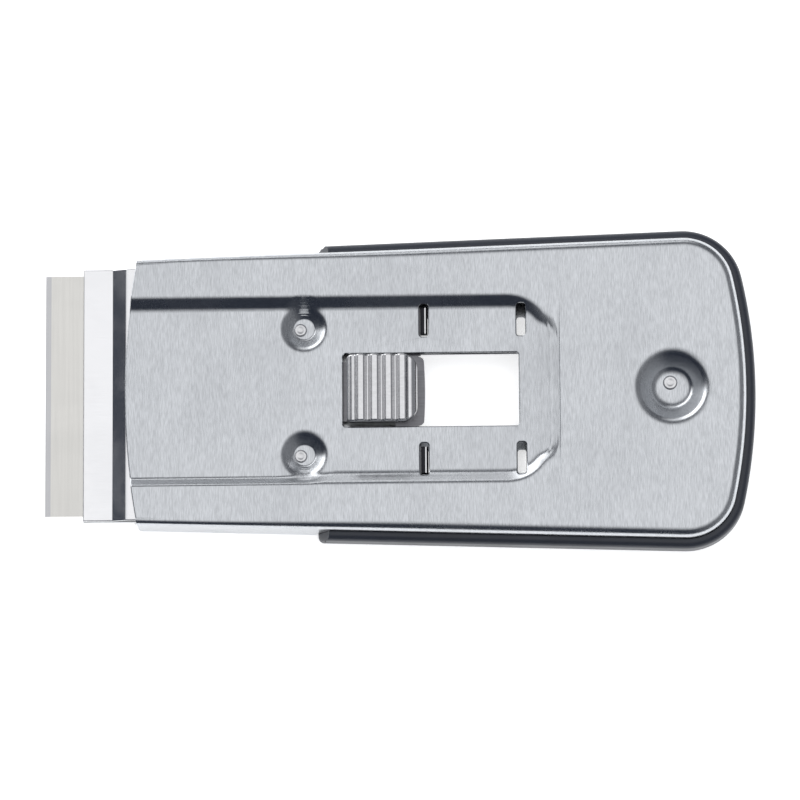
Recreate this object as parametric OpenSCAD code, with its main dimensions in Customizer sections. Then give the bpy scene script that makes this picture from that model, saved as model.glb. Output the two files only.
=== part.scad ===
// Ceramic hob scraper with a blade that slides out of a pressed steel housing.
// All lengths are in millimetres.
// X runs along the tool with the cutting edge at its low end, Y runs across it and Z points up.
// The origin lies under the middle of the tool, on the surface that it rests on.
// The blade is drawn slid out, with the thumb slider pressed just far enough to free its lugs.

/* [Cover] */
// Length of the top cover along its centre line
cover_length = 98.6; // [96:0.1:104]
// Width of the top cover at its front edge
cover_front_width = 42.4; // [42.3:0.1:46]
// Width that the tapering sides reach at the rear edge
cover_rear_width = 48.3; // [46:0.1:52]
// Height from the underside to the flat top of the cover
housing_height = 7.6; // [7.3:0.1:9]
// Thickness of the housing's sheet steel
sheet = 0.6; // [0.5:0.05:0.7]
// Outer radius of the bend between the cover's top and its side walls
bend_radius = 0.9; // [0.8:0.1:1.4]
// Radius of the two rear corners
corner_radius = 6.2; // [5:0.1:8]
// Radius of the bowed rear edge
rear_edge_radius = 83; // [70:1:110]
// Radius of the bowed front edge
front_edge_radius = 116; // [100:1:140]
// Height of the side walls' lower edge above the underside
wall_lift = 0.5; // [0.3:0.1:0.8]

/* [Channel] */
// Width of the sunk channel between the tops of its walls
channel_width = 30.6; // [30:0.1:32]
// Distance from the cover's front edge to the top of the channel's rear wall
channel_length = 68.8; // [68:0.1:72]
// Depth of the channel
channel_depth = 1.05; // [0.9:0.05:1.15]
// Width of the channel's sloping wall, seen from above
channel_wall = 2.2; // [2.1:0.1:2.6]
// Radius of the channel's rear corners at the top of the wall
channel_corner = 8; // [6:0.1:10]
// Bend radius of the channel's wall, at the middle of the sheet
channel_bend = 1.3; // [1:0.05:1.35]

/* [Dimples] */
// Distance from the cover's front edge to the two front dimples
front_dimple_x = 28.6; // [28:0.1:30]
// Distance of each front dimple from the centre line
front_dimple_y = 10.3; // [10.1:0.1:10.6]
// Radius of a front dimple at its rim
front_dimple_radius = 3.8; // [3.6:0.1:4]
// Radius of a front dimple's flat floor
front_floor_radius = 1.5; // [1.4:0.05:1.6]
// Distance from the cover's rear edge forward to the rear dimple
rear_dimple_back = 11.4; // [10.6:0.1:14.6]
// Radius of the rear dimple at its rim
rear_dimple_radius = 6.4; // [6:0.1:7]
// Radius of the rear dimple's flat floor
rear_floor_radius = 2.6; // [2.2:0.1:3]
// Height of the plane in which the dimples of the two covers meet
seam_height = 3.5; // [3.4:0.05:3.6]
// Bend radius of the dimples, at the middle of the sheet
dimple_bend = 0.85; // [0.6:0.05:0.95]

/* [Grip rim] */
// How far the moulded rim stands out from the cover's side wall
rim_proud = 1.9; // [1.6:0.1:2.6]
// Distance from the cover's front edge to the front ends of the rim
rim_start = 32.1; // [31.8:0.1:40]
// Height of the rim's top
rim_height = 5.2; // [4.6:0.1:5.8]
// Thickness of the rim under the cover's wall
rim_floor = 1.2; // [1:0.1:1.6]
// Thickness of the rim's inner lip
rim_lip = 0.9; // [0.7:0.1:1.2]
// Height of the rim's inner lip
rim_lip_height = 2.6; // [2.2:0.1:3.2]
// Radius along the rim's lower outer edge
rim_lower_round = 1.5; // [1:0.1:1.6]
// Radius along the rim's upper outer edge
rim_upper_round = 1.1; // [0.6:0.1:1.4]

/* [Blade] */
// Distance from the carriage's side to the end of the cutting edge
blade_inset = 0.9; // [0.5:0.1:1.4]
// Width of the blade from its edge to its back
blade_width = 19; // [18.6:0.1:19.2]
// Thickness of the blade
blade_thickness = 0.3; // [0.25:0.05:0.4]
// Width of the ground bevel
bevel_width = 0.9; // [0.5:0.1:1.5]
// How far the cutting edge stands in front of the cover when slid out
blade_reach = 12.9; // [12:0.1:13.4]
// Width of bare blade in front of its clamp
blade_show = 6.1; // [5.6:0.1:6.4]
// Distance from the cutting edge to the two pegs
peg_x = 15; // [14.8:0.1:15.6]
// Distance of each peg from the centre line
peg_y = 12; // [8:0.5:15]
// Radius of a peg
peg_radius = 1.4; // [1.2:0.05:1.6]

/* [Carriage] */
// Play of the blade carrier and its clamp inside each side wall, at the front
carriage_play = 0.2; // [0.15:0.05:0.5]
// Thickness of the blade carrier
carrier_sheet = 0.8; // [0.7:0.05:0.9]
// Distance that the blade slides
travel = 15.5; // [14.5:0.1:15.6]
// Thickness of the clamp
clamp_sheet = 0.7; // [0.5:0.05:0.75]
// Length of the clamp's flat front strip
clamp_strip = 4.65; // [4.2:0.05:5]
// Width of the step behind the strip, seen from above
clamp_step = 2.05; // [1.9:0.05:2.3]
// Height of that step
clamp_rise = 0.9; // [0.7:0.05:1]
// Distance from the carriage's side to the outer clamp rivets
clamp_rivet_inset = 3; // [2.8:0.1:3.4]
// Radius of the rivet shanks in the clamp and the spring
rivet_radius = 0.9; // [0.7:0.05:1]
// Radius of the same rivets' heads
rivet_head = 1.6; // [1.4:0.05:1.8]
// Width of the carrier behind its front part
tail_width = 29.6; // [29.4:0.1:31]

/* [Lock and slider] */
// Width of the spring's leaf
leaf_width = 9.6; // [8:0.1:10.6]
// Thickness of the spring's steel
leaf_sheet = 0.5; // [0.4:0.05:0.55]
// Distance from the spring's pivot line to the middle of its lugs
leaf_reach = 21.6; // [21:0.1:22.4]
// Thickness of a lug along the tool
lug_thickness = 0.8; // [0.6:0.05:0.9]
// Length of the thumb slider
slider_length = 11.3; // [11:0.1:12]
// Width of the thumb slider
slider_width = 10.8; // [10:0.1:11]
// Height of the rib crests above the channel's floor
slider_height = 2.9; // [2.6:0.1:3.4]
// Number of ribs across the slider
rib_count = 4; // [3:1:4]
// Distance from one rib to the next
rib_pitch = 2.2; // [2:0.05:2.25]
// Radius of a rib's crest
crest_radius = 0.75; // [0.65:0.01:0.8]
// Radius of the groove between two ribs
groove_radius = 0.55; // [0.5:0.01:0.6]
// Radius of the slider's front shoulder
shoulder_radius = 1.2; // [1:0.05:1.4]
// Distance from the cover's front edge to the window
window_start = 34.8; // [34.4:0.1:36]
// Width of the window
window_width = 11.8; // [11.6:0.1:12.2]
// Distance from the centre line to the inner end of the lock slots
slot_inner = 8.6; // [8.3:0.1:9]
// Distance from the centre line to the outer end of the lock slots
slot_outer = 13.8; // [13.2:0.1:14]
// Width of the lock slots along the tool
slot_width = 1.42; // [1.3:0.02:1.6]

/* [Clearances] */
// Running gap between the slider and each end of the window
slider_gap = 0.6; // [0.4:0.05:0.8]
// Gap under the runners of the carrier
runner_gap = 0.15; // [0.1:0.05:0.3]
// Gap around each rivet shank
rivet_gap = 0.05; // [0.02:0.01:0.1]
// Gap between the parts of the housing
housing_gap = 0.1; // [0.05:0.01:0.15]
// Gap that lets the spring tilt at its root
tilt_gap = 0.14; // [0.13:0.01:0.18]

/* [Hidden] */
$fn = 72;
large_arc_facets = 720;
bend_steps = 6;
steel = "silver";
bright_steel = "gainsboro";
overlap = 0.01;
lap = 0.05;
seam_strip = 0.6;
spare = 5;
quarter_turn = 90;
left = -1;
right = 1;

// Places along the tool
overall_length = blade_reach + cover_length + rim_proud;
x_edge = -overall_length/2;
x_front = x_edge + blade_reach;
x_rear = x_front + cover_length;
front_dimple = [x_front + front_dimple_x, front_dimple_y];
rear_dimple = [x_rear - rear_dimple_back, 0];
x_rim = x_front + rim_start;
x_window = x_front + window_start;
window_length = slider_length + travel + 2*slider_gap;
x_slider = x_window + slider_gap;
x_slider_end = x_slider + slider_length;
x_lock = x_slider_end + lug_thickness/2 + slider_gap;
x_pivot = x_lock - leaf_reach;

// Widths of the carriage, which follow the housing's
carrier_width = cover_front_width - 2*(sheet + carriage_play);
blade_length = carrier_width - 2*blade_inset;
clamp_rivet_y = carrier_width/2 - clamp_rivet_inset;

// Levels of the housing
channel_top = housing_height - channel_depth;
channel_under = channel_top - sheet;
dimple_floor = seam_height + sheet;

// The plan of the cover: tapering sides, two round corners and a bowed rear edge
taper = atan((cover_rear_width - cover_front_width)/2/cover_length);
side_along = [cos(taper), sin(taper)];
side_inward = [sin(taper), -cos(taper)];
side_front = [x_front, cover_front_width/2];
rear_centre = [x_rear - rear_edge_radius, 0];
corner_offset = side_front + corner_radius*side_inward - rear_centre;
corner_along = corner_offset*side_along;
corner_square = corner_offset*corner_offset - pow(rear_edge_radius - corner_radius, 2);
corner_run = sqrt(corner_along*corner_along - corner_square) - corner_along;
corner_centre = side_front + corner_radius*side_inward + corner_run*side_along;
rear_angle = atan2(corner_centre[1], corner_centre[0] - rear_centre[0]);
corner_angle = 90 + taper - rear_angle;

// Levels and places of the carriage, from the plane in which the dimples meet
carrier_top = seam_height - blade_thickness/2 + runner_gap/3;
carrier_under = carrier_top - carrier_sheet;
runner_under = sheet + runner_gap;
blade_top = carrier_top + blade_thickness;
x_clamp = x_edge + blade_show;
x_step = x_clamp + clamp_strip;
x_raised = x_step + clamp_step;
blade_rear_gap = 0.9;
x_raised_end = x_edge + blade_width + blade_rear_gap;
clamp_drop = clamp_rise + blade_thickness;
clamp_fall = clamp_step + 0.25;
clamp_bend = 0.6;
x_foot = x_raised_end + clamp_fall;
foot_length = 6;
x_foot_end = x_foot + foot_length;
foot_rivet_x = x_foot + foot_length/2;
x_wide_end = x_foot_end + 0.5;
x_runner = x_front + 1.3;
tail_end_gap = 0.9;
x_tail_end = x_lock - tail_end_gap;
tail_runner_length = 13;
guide_half_width = front_floor_radius + 1.4;
clamp_relief = 0.5;
rivet_head_height = 0.5;
peg_top = blade_top + 0.45;
peg_head = peg_radius + 0.5;
peg_head_height = 0.4;
peg_play = 0.15;

// Levels and places of the lock spring
lug_drop = 0.1;
lift_room = 0.65;
lug_top = channel_under - lug_drop;
wing_clearance = 0.2;
leaf_top = channel_under - lift_room - wing_clearance;
leaf_under = leaf_top - leaf_sheet;
root_under = carrier_top + tilt_gap;
root_half = 3.6;
root_end = x_pivot + root_half + 0.9;
ramp_run = 3.2;
ramp_bend = 0.6;
x_leaf = root_end + ramp_run;
rivet_spacing = 3.6;
spring_hole = rivet_radius + 0.2;
wing_length = 5;
wing_width = slot_outer - 0.35;
lug_inner = slot_inner + 0.45;
lug_round = 0.5;

// Levels and places of the thumb slider
crest_top = channel_top + slider_height;
crest_centre = crest_top - crest_radius;
rib_radii = crest_radius + groove_radius;
groove_centre = crest_centre + sqrt(pow(rib_radii, 2) - pow(rib_pitch/2, 2));
groove_floor = groove_centre - groove_radius;
x_groove = x_slider + shoulder_radius;
ribs_length = rib_count*rib_pitch;
heel_radius = x_slider_end - x_groove - ribs_length;
slider_corner = 0.7;
slider_rear_corner = 2.4;
stud_radius = 1.2;
stud_head = 1.8;
stud_head_height = 0.4;
stud_places = [0.28, 0.72];

// Sizes of the housing's small features
front_rivet_radius = 0.8;
front_rivet_head = 1.1;
rear_rivet_radius = 0.85;
rear_rivet_head = 1.2;
housing_rivet_height = 0.4;
rivet_dish = 0.22;
front_rivet_shift = [-0.6, -0.15];
rear_rivet_shift = [-0.3, 0.95];
window_corner = 0.5;
slot_corner = 0.45;
lower_window_margin = 0.8;
lower_slot_trim = [0.3, -1.15];
bottom_setback = 0.4;
rim_end_round = 1.2;
rim_end_slant = 1.1;
dimple_flare = 0.5;

// A point of the plan on the other side of the centre line
function flip(point) = [point[0], -point[1]];

// Slope of a pressed wall with this run and drop, whose two bends have this radius
function press_slope(run, drop, bend) =
    asin(2*bend/norm([run, 2*bend - drop])) - atan2(2*bend - drop, run);

// The shape and its mirror image across the centre line
module both_sides() {
    children();
    mirror([0, 1, 0]) children();
}

// Part of a ring between two angles
module ring_sector(inner, outer, from, to) {
    reach = 2*outer;
    middle = (from + to)/2;
    intersection() {
        difference() {
            circle(outer);
            circle(inner);
        }
        polygon([[0, 0], reach*[cos(from), sin(from)], reach*[cos(middle), sin(middle)],
            reach*[cos(to), sin(to)]]);
    }
}

// Points along an arc
function arc(centre, radius, from, to) =
    [for (i = [0 : bend_steps]) let (angle = from + (to - from)*i/bend_steps)
        centre + radius*[cos(angle), sin(angle)]];

// Lower or upper surface of a sheet that rises from the top of a low flat at the origin
// to a high flat, listed from the low end; side is -1 for the lower one and 1 for the upper
function press_surface(run, drop, bend, thickness, side) =
    let (slope = press_slope(run, drop, bend), half = thickness/2)
    concat(arc([0, bend - half], bend - side*half, -quarter_turn, slope - quarter_turn),
        arc([run, drop - half - bend], bend + side*half, quarter_turn + slope, quarter_turn));

// The same points in the other order
function reversed(points) = [for (i = [len(points) - 1 : -1 : 0]) points[i]];

// Section of such a sheet
module press_section(run, drop, bend, thickness) {
    polygon(concat(press_surface(run, drop, bend, thickness, -1),
        reversed(press_surface(run, drop, bend, thickness, 1))));
}

// Rectangle from its low corner, with round corners
module round_rectangle(size, radius) {
    translate([radius, 0]) square([size[0] - 2*radius, size[1]]);
    translate([0, radius]) square([size[0], size[1] - 2*radius]);
    for (x = [radius, size[0] - radius], y = [radius, size[1] - radius])
        translate([x, y]) circle(radius);
}

// Plan of the housing, moved inwards by inset and running past the front edge
module plan(inset) {
    front = side_front - spare*side_along + inset*side_inward;
    tangent = corner_centre - (corner_radius - inset)*side_inward;
    ray = 2*rear_edge_radius*[cos(rear_angle), sin(rear_angle)];
    polygon([front, tangent, corner_centre, flip(corner_centre), flip(tangent), flip(front)]);
    for (centre = [corner_centre, flip(corner_centre)])
        translate(centre) circle(corner_radius - inset);
    intersection() {
        translate(rear_centre) circle(rear_edge_radius - inset, $fn = large_arc_facets);
        polygon([rear_centre, rear_centre + flip(ray), rear_centre + ray]);
    }
}

// A section, drawn outwards from the cover's wall and upwards, carried round the housing.
// Each frame below stands in the one before, so that neighbouring stretches meet exactly.
module carry_round(start_x) {
    start = side_front + (start_x - x_front)/cos(taper)*side_along;
    tangent = corner_centre - corner_radius*side_inward;
    length = norm(tangent - start);
    turn = corner_angle/2 + 1;
    both_sides() difference() {
        translate([rear_centre[0], 0, 0]) rotate([0, 0, rear_angle]) {
            mirror([0, 1, 0]) rotate_extrude(angle = rear_angle + 1, $fn = large_arc_facets)
                translate([rear_edge_radius, 0]) children();
            translate([rear_edge_radius - corner_radius, 0, 0]) {
                rotate_extrude(angle = turn) translate([corner_radius, 0]) children();
                rotate([0, 0, corner_angle - 90]) {
                    mirror([1, -1, 0]) rotate_extrude(angle = turn)
                        translate([corner_radius, 0]) children();
                    translate([-length, corner_radius, 0]) rotate([90, 0, 90])
                        linear_extrude(length) children();
                }
            }
        }
        translate([0, -spare, -spare]) cube([overall_length, spare, housing_height + 2*spare]);
    }
}

// What the bowed front edge cuts off, set back by a distance
module front_cut(setback) {
    steps = 23;
    reach = cover_front_width;
    arc = [for (i = [0 : steps]) let (y = reach*(i/steps - 0.5)*1.2)
        [x_front + setback + front_edge_radius - sqrt(pow(front_edge_radius, 2) - y*y), y]];
    first = arc[0];
    translate([0, 0, -spare]) linear_extrude(housing_height + 2*spare)
        polygon(concat([[x_front - 2*spare, first[1]]], arc, [[x_front - 2*spare, -first[1]]]));
}

// Section of the cover's side wall and its bend into the top
module wall_section() {
    translate([-sheet, wall_lift]) square([sheet, housing_height - bend_radius - wall_lift]);
    translate([-bend_radius, housing_height - bend_radius])
        ring_sector(bend_radius - sheet, bend_radius, 0, 90);
    translate([-bend_radius - seam_strip, housing_height - sheet + overlap])
        square([seam_strip, sheet - 2*overlap]);
}

// Plan of the channel, moved inwards by inset and running past the front edge
module channel_plan(inset) {
    half = channel_width/2 - inset;
    end = x_front + channel_length - inset;
    radius = channel_corner - inset;
    translate([x_front - spare, -half]) square([end - radius - x_front + spare, 2*half]);
    translate([end - radius - overlap, -half + radius])
        square([radius + overlap, 2*(half - radius)]);
    for (y = [-half + radius, half - radius])
        translate([end - radius, y]) circle(radius);
}

// The channel's floor and its sloping wall, drawn below the cover's top
module channel() {
    half = channel_width/2 - channel_wall;
    end = x_front + channel_length;
    corner = [end - channel_corner, channel_width/2 - channel_corner];
    inner_radius = channel_corner - channel_wall;
    translate([0, 0, channel_under]) linear_extrude(sheet) channel_plan(channel_wall);
    translate([0, 0, channel_top]) {
        both_sides() {
            translate([x_front - spare, half, 0]) rotate([90, 0, 90])
                linear_extrude(corner[0] - x_front + spare) channel_wall_section();
            translate([corner[0], corner[1], 0]) rotate_extrude(angle = 90)
                translate([inner_radius, 0]) channel_wall_section();
        }
        translate([end - channel_wall, corner[1], 0]) rotate([90, 0, 0])
            linear_extrude(2*corner[1]) channel_wall_section();
    }
}

// Section of the channel's wall
module channel_wall_section() {
    press_section(channel_wall, channel_depth, channel_bend, sheet);
}

// A dimple pressed down from a flat sheet whose top is at top_level
module dimple(rim_radius, floor_radius, top_level, floor_level) {
    rotate_extrude() {
        translate([0, floor_level - sheet]) square([floor_radius, sheet]);
        translate([floor_radius, floor_level])
            press_section(rim_radius - floor_radius, top_level - floor_level, dimple_bend, sheet);
    }
}

// The dimple's mirror image, pressed up from a flat sheet on the underside
module raised_dimple(rim_radius, floor_radius) {
    mirror([0, 0, 1]) dimple(rim_radius, floor_radius, 0, sheet - seam_height);
}

// Holes of the rivets that join the two covers
module housing_rivet_holes() {
    for (side = [left, right])
        translate([front_dimple[0] + front_rivet_shift[0],
            side*front_dimple[1] + front_rivet_shift[1], 0])
            cylinder(r = front_rivet_radius + rivet_gap, h = housing_height);
    translate([rear_dimple[0] + rear_rivet_shift[0], rear_rivet_shift[1], 0])
        cylinder(r = rear_rivet_radius + rivet_gap, h = housing_height);
}

// The two places that each lug of the spring can lock in
module lock_slots(inner, outer, base, height) {
    for (step = [0, travel], side = [0, 1])
        mirror([0, side, 0]) translate([x_lock + step - slot_width/2, inner, base])
            linear_extrude(height) round_rectangle([slot_width, outer - inner], slot_corner);
}

// Pressed top cover with its folded side wall, channel, dimples, window and lock slots
module top_cover() {
    color(steel) difference() {
        union() {
            cover_top();
            cover_channel();
            for (side = [left, right])
                translate([front_dimple[0], side*front_dimple[1], 0])
                    dimple(front_dimple_radius, front_floor_radius, channel_top, dimple_floor);
            translate([rear_dimple[0], 0, 0])
                dimple(rear_dimple_radius, rear_floor_radius, housing_height, dimple_floor);
        }
        front_cut(0);
        translate([x_window, -window_width/2, channel_under - spare])
            linear_extrude(2*spare)
                round_rectangle([window_length, window_width], window_corner);
        lock_slots(slot_inner, slot_outer, channel_under - 1, 3);
        housing_rivet_holes();
        translate([x_rim, -cover_rear_width, -overlap])
            cube([cover_length, 2*cover_rear_width, rim_floor + overlap]);
    }
}

// The cover's flat top and side wall, open over the channel and the rear dimple
module cover_top() {
    difference() {
        union() {
            translate([0, 0, housing_height - sheet]) linear_extrude(sheet)
                plan(bend_radius + lap);
            carry_round(x_front - spare) wall_section();
        }
        translate([0, 0, housing_height - 2*sheet]) linear_extrude(3*sheet) channel_plan(0);
        translate([rear_dimple[0], 0, housing_height - 2*sheet])
            cylinder(r = rear_dimple_radius, h = 3*sheet);
    }
}

// The channel, open over the front dimples
module cover_channel() {
    difference() {
        channel();
        for (side = [left, right])
            translate([front_dimple[0], side*front_dimple[1], 0]) {
                translate([0, 0, channel_under - sheet])
                    cylinder(r = front_dimple_radius, h = 2*sheet);
                translate([0, 0, channel_top])
                    cylinder(r1 = front_dimple_radius, r2 = front_dimple_radius + channel_depth,
                        h = channel_depth);
            }
    }
}

// Flat bottom cover, inside the side walls in front and inside the rim's lip behind
module bottom_cover() {
    lip_inset = sheet + rim_lip + 2*housing_gap;
    color(steel) difference() {
        union() {
            difference() {
                linear_extrude(sheet) {
                    plan(lip_inset);
                    intersection() {
                        plan(sheet + housing_gap);
                        translate([x_front - spare, -cover_front_width])
                            square([rim_start + spare - housing_gap, 2*cover_front_width]);
                    }
                }
                for (side = [left, right])
                    translate([front_dimple[0], side*front_dimple[1], -sheet])
                        cylinder(r = front_dimple_radius, h = 3*sheet);
                translate([rear_dimple[0], 0, -sheet])
                    cylinder(r = rear_dimple_radius, h = 3*sheet);
            }
            for (side = [left, right])
                translate([front_dimple[0], side*front_dimple[1], 0])
                    raised_dimple(front_dimple_radius, front_floor_radius);
            translate([rear_dimple[0], 0, 0])
                raised_dimple(rear_dimple_radius, rear_floor_radius);
        }
        front_cut(bottom_setback);
        translate([x_window - lower_window_margin/2, -window_width/2 - lower_window_margin, -sheet])
            linear_extrude(3*sheet)
                round_rectangle([window_length + lower_window_margin,
                    window_width + 2*lower_window_margin], window_corner);
        lock_slots(slot_inner + lower_slot_trim[0], slot_outer + lower_slot_trim[1], -sheet, 3*sheet);
        housing_rivet_holes();
    }
}

// Section of the rim: an outer band, a floor under the cover's wall and a lip inside it
module rim_section() {
    inner = -sheet - rim_lip - housing_gap/2;
    lower = [rim_proud - rim_lower_round, rim_lower_round];
    upper = [rim_proud - rim_upper_round, rim_height - rim_upper_round];
    difference() {
        union() {
            polygon([[inner, 0], [lower[0], 0], lower, [rim_proud, lower[1]],
                [rim_proud, upper[1]], upper, [upper[0], rim_height], [inner, rim_height]]);
            translate(lower) circle(rim_lower_round);
            translate(upper) circle(rim_upper_round);
        }
        translate([-sheet - housing_gap/2, rim_floor])
            square([sheet + housing_gap, rim_height]);
        translate([inner - 1, rim_lip_height]) square([1 + rim_lip + sheet, rim_height]);
    }
}

// Moulded rim round the rear of the housing, gripping the lower edge of the cover's wall
module grip_rim() {
    start = side_front + rim_start/cos(taper)*side_along;
    color("dimgray") difference() {
        carry_round(x_rim) rim_section();
        both_sides() translate([start[0], start[1], 0]) rotate([0, 0, taper]) {
            translate([0, 0, -overlap]) linear_extrude(rim_height + 1) difference() {
                translate([-1, rim_proud - rim_end_round])
                    square([1 + rim_end_round, rim_end_round + 1]);
                translate([rim_end_round, rim_proud - rim_end_round]) circle(rim_end_round);
            }
            translate([0, rim_proud + 1, 0]) rotate([90, 0, 0]) linear_extrude(2*rim_proud + 2)
                polygon([[-1, rim_floor], [0, rim_floor], [rim_end_slant, rim_height + overlap],
                    [-1, rim_height + overlap]]);
        }
    }
}

// Rivet with a flat head below, a shank and a dished head above
module housing_rivet(shank, head) {
    lower = seam_height - sheet;
    upper = seam_height + sheet;
    color(bright_steel) difference() {
        union() {
            translate([0, 0, lower - housing_rivet_height])
                cylinder(r = head, h = housing_rivet_height);
            translate([0, 0, lower - overlap])
                cylinder(r = shank, h = upper - lower + 2*overlap);
            translate([0, 0, upper]) cylinder(r1 = head, r2 = head - housing_rivet_height/2,
                h = housing_rivet_height);
        }
        translate([0, 0, upper + housing_rivet_height - rivet_dish])
            cylinder(r1 = head/3, r2 = head*0.6, h = rivet_dish + overlap);
    }
}

// Front rivet on one side
module front_rivet(side) {
    translate([front_dimple[0] + front_rivet_shift[0],
        side*front_dimple[1] + front_rivet_shift[1], 0])
        housing_rivet(front_rivet_radius, front_rivet_head);
}

// Rivet in the rear dimple
module rear_rivet() {
    translate([rear_dimple[0] + rear_rivet_shift[0], rear_rivet_shift[1], 0])
        housing_rivet(rear_rivet_radius, rear_rivet_head);
}

// Places of the clamp rivets across the carriage
function clamp_rivet_place(side) = [foot_rivet_x, side*clamp_rivet_y];

// Places of the spring rivets along the carriage
function spring_rivet_place(end) = [x_pivot + end*rivet_spacing/2, 0];

// Plan of the blade carrier with its guide slots and holes
module carrier_plan() {
    difference() {
        union() {
            translate([x_clamp, -carrier_width/2])
                square([x_wide_end - x_clamp, carrier_width]);
            translate([x_wide_end - 1, -tail_width/2])
                square([x_tail_end - x_wide_end + 1, tail_width]);
        }
        for (side = [left, right]) {
            translate([front_dimple[0] - travel - guide_half_width,
                side*front_dimple[1] - guide_half_width])
                round_rectangle([travel + 2*guide_half_width, 2*guide_half_width],
                    guide_half_width - overlap);
            translate([x_edge + peg_x, side*peg_y]) circle(peg_radius + rivet_gap);
        }
        for (side = [left, 0, right])
            translate(clamp_rivet_place(side)) circle(rivet_radius + rivet_gap);
        for (end = [-1, 1])
            translate(spring_rivet_place(end)) circle(rivet_radius + rivet_gap);
    }
}

// Sheet carrier under the blade, with runners folded down at its sides
module blade_carrier() {
    runner_height = carrier_top - runner_under;
    color(steel) {
        translate([0, 0, carrier_under]) linear_extrude(carrier_sheet) carrier_plan();
        both_sides() {
            translate([x_runner, carrier_width/2 - carrier_sheet, runner_under])
                cube([x_wide_end - x_runner, carrier_sheet, runner_height]);
            translate([x_tail_end - tail_runner_length, tail_width/2 - carrier_sheet, runner_under])
                cube([tail_runner_length, carrier_sheet, runner_height]);
        }
    }
}

// One surface of the clamp along the tool: strip, step up, raised span, step down and foot
function clamp_surface(side) =
    let (strip_top = blade_top + clamp_sheet, foot_top = strip_top + clamp_rise - clamp_drop,
        level = side < 0 ? clamp_sheet : 0,
        step = press_surface(clamp_step, clamp_rise, clamp_bend, clamp_sheet, side),
        fall = reversed(press_surface(clamp_fall, clamp_drop, clamp_bend, clamp_sheet, side)))
    concat([[x_clamp, strip_top - level]], [for (p = step) [x_step + p[0], strip_top + p[1]]],
        [for (p = fall) [x_foot - p[0], foot_top + p[1]]], [[x_foot_end, foot_top - level]]);

// Section of the clamp along the tool
module clamp_section() {
    polygon(concat(clamp_surface(-1), reversed(clamp_surface(1))));
}

// Arched clamp that presses the blade on its carrier, with room for the dimples behind
module blade_clamp() {
    relief = front_dimple_radius + clamp_relief;
    relief_front = x_raised_end - clamp_relief;
    color(bright_steel) difference() {
        rotate([90, 0, 0]) linear_extrude(carrier_width, center = true) clamp_section();
        for (side = [left, right])
            translate([relief_front, side*front_dimple[1] - relief, 0])
                linear_extrude(housing_height) round_rectangle([2*foot_length, 2*relief], 1);
        for (side = [left, 0, right])
            translate(clamp_rivet_place(side)) cylinder(r = rivet_radius + rivet_gap,
                h = housing_height);
    }
}

// Blade with a ground cutting edge and two holes for its pegs
module blade() {
    color(bright_steel) difference() {
        translate([x_edge, 0, carrier_top]) rotate([90, 0, 0])
            linear_extrude(blade_length, center = true)
                polygon([[0, blade_thickness/2], [bevel_width, 0], [blade_width, 0],
                    [blade_width, blade_thickness], [bevel_width, blade_thickness]]);
        for (side = [left, right])
            translate([x_edge + peg_x, side*peg_y, 0])
                cylinder(r = peg_radius + peg_play, h = housing_height);
    }
}

// Peg that locates the blade, headed under the carrier
module blade_peg(side) {
    color(steel) translate([x_edge + peg_x, side*peg_y, 0]) {
        translate([0, 0, carrier_under - peg_head_height])
            cylinder(r = peg_head, h = peg_head_height);
        translate([0, 0, carrier_under - overlap])
            cylinder(r = peg_radius, h = peg_top - carrier_under + overlap);
    }
}

// Rivet with flat heads at both ends, from one level to another
module flat_rivet(under, top) {
    color(steel) {
        translate([0, 0, under - rivet_head_height])
            cylinder(r = rivet_head, h = rivet_head_height);
        translate([0, 0, under - overlap])
            cylinder(r = rivet_radius, h = top - under + 2*overlap);
        translate([0, 0, top]) cylinder(r = rivet_head, h = rivet_head_height);
    }
}

// Rivet that holds the clamp's foot on the carrier
module clamp_rivet(side) {
    translate(clamp_rivet_place(side)) flat_rivet(carrier_under, carrier_top + clamp_sheet);
}

// Rivet that holds the spring's root on the carrier
module spring_rivet(end) {
    translate(spring_rivet_place(end))
        flat_rivet(carrier_under, root_under + leaf_sheet + tilt_gap);
}

// Leaf spring with a ramp, two wings and a lug turned up at the end of each wing
module lock_spring() {
    root_top = root_under + leaf_sheet;
    leaf_end = x_lock + lug_thickness/2;
    color(bright_steel) difference() {
        union() {
            rotate([90, 0, 0]) linear_extrude(leaf_width, center = true) {
                translate([x_pivot - root_half, root_under])
                    square([root_end - x_pivot + root_half + lap, leaf_sheet]);
                translate([root_end, root_top])
                    press_section(ramp_run, leaf_top - root_top, ramp_bend, leaf_sheet);
                translate([x_leaf - lap, leaf_under])
                    square([leaf_end - x_leaf + lap, leaf_sheet]);
            }
            translate([leaf_end - wing_length, -wing_width, leaf_under]) linear_extrude(leaf_sheet)
                round_rectangle([wing_length, 2*wing_width], lug_round);
            both_sides() translate([leaf_end, lug_inner, leaf_under]) rotate([90, 0, -90])
                linear_extrude(lug_thickness) mirror([1, 0])
                    lug_outline(wing_width - lug_inner, lug_top - leaf_under);
        }
        for (end = [-1, 1])
            translate(spring_rivet_place(end)) cylinder(r = spring_hole, h = housing_height);
        for (place = stud_places)
            translate([x_slider + place*slider_length, 0, 0])
                cylinder(r = stud_radius + rivet_gap, h = housing_height);
    }
}

// Front view of a lug: square below, round at its upper corners
module lug_outline(width, height) {
    square([width, height - lug_round]);
    translate([lug_round, 0]) square([width - 2*lug_round, height]);
    for (x = [lug_round, width - lug_round])
        translate([x, height - lug_round]) circle(lug_round);
}

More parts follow.
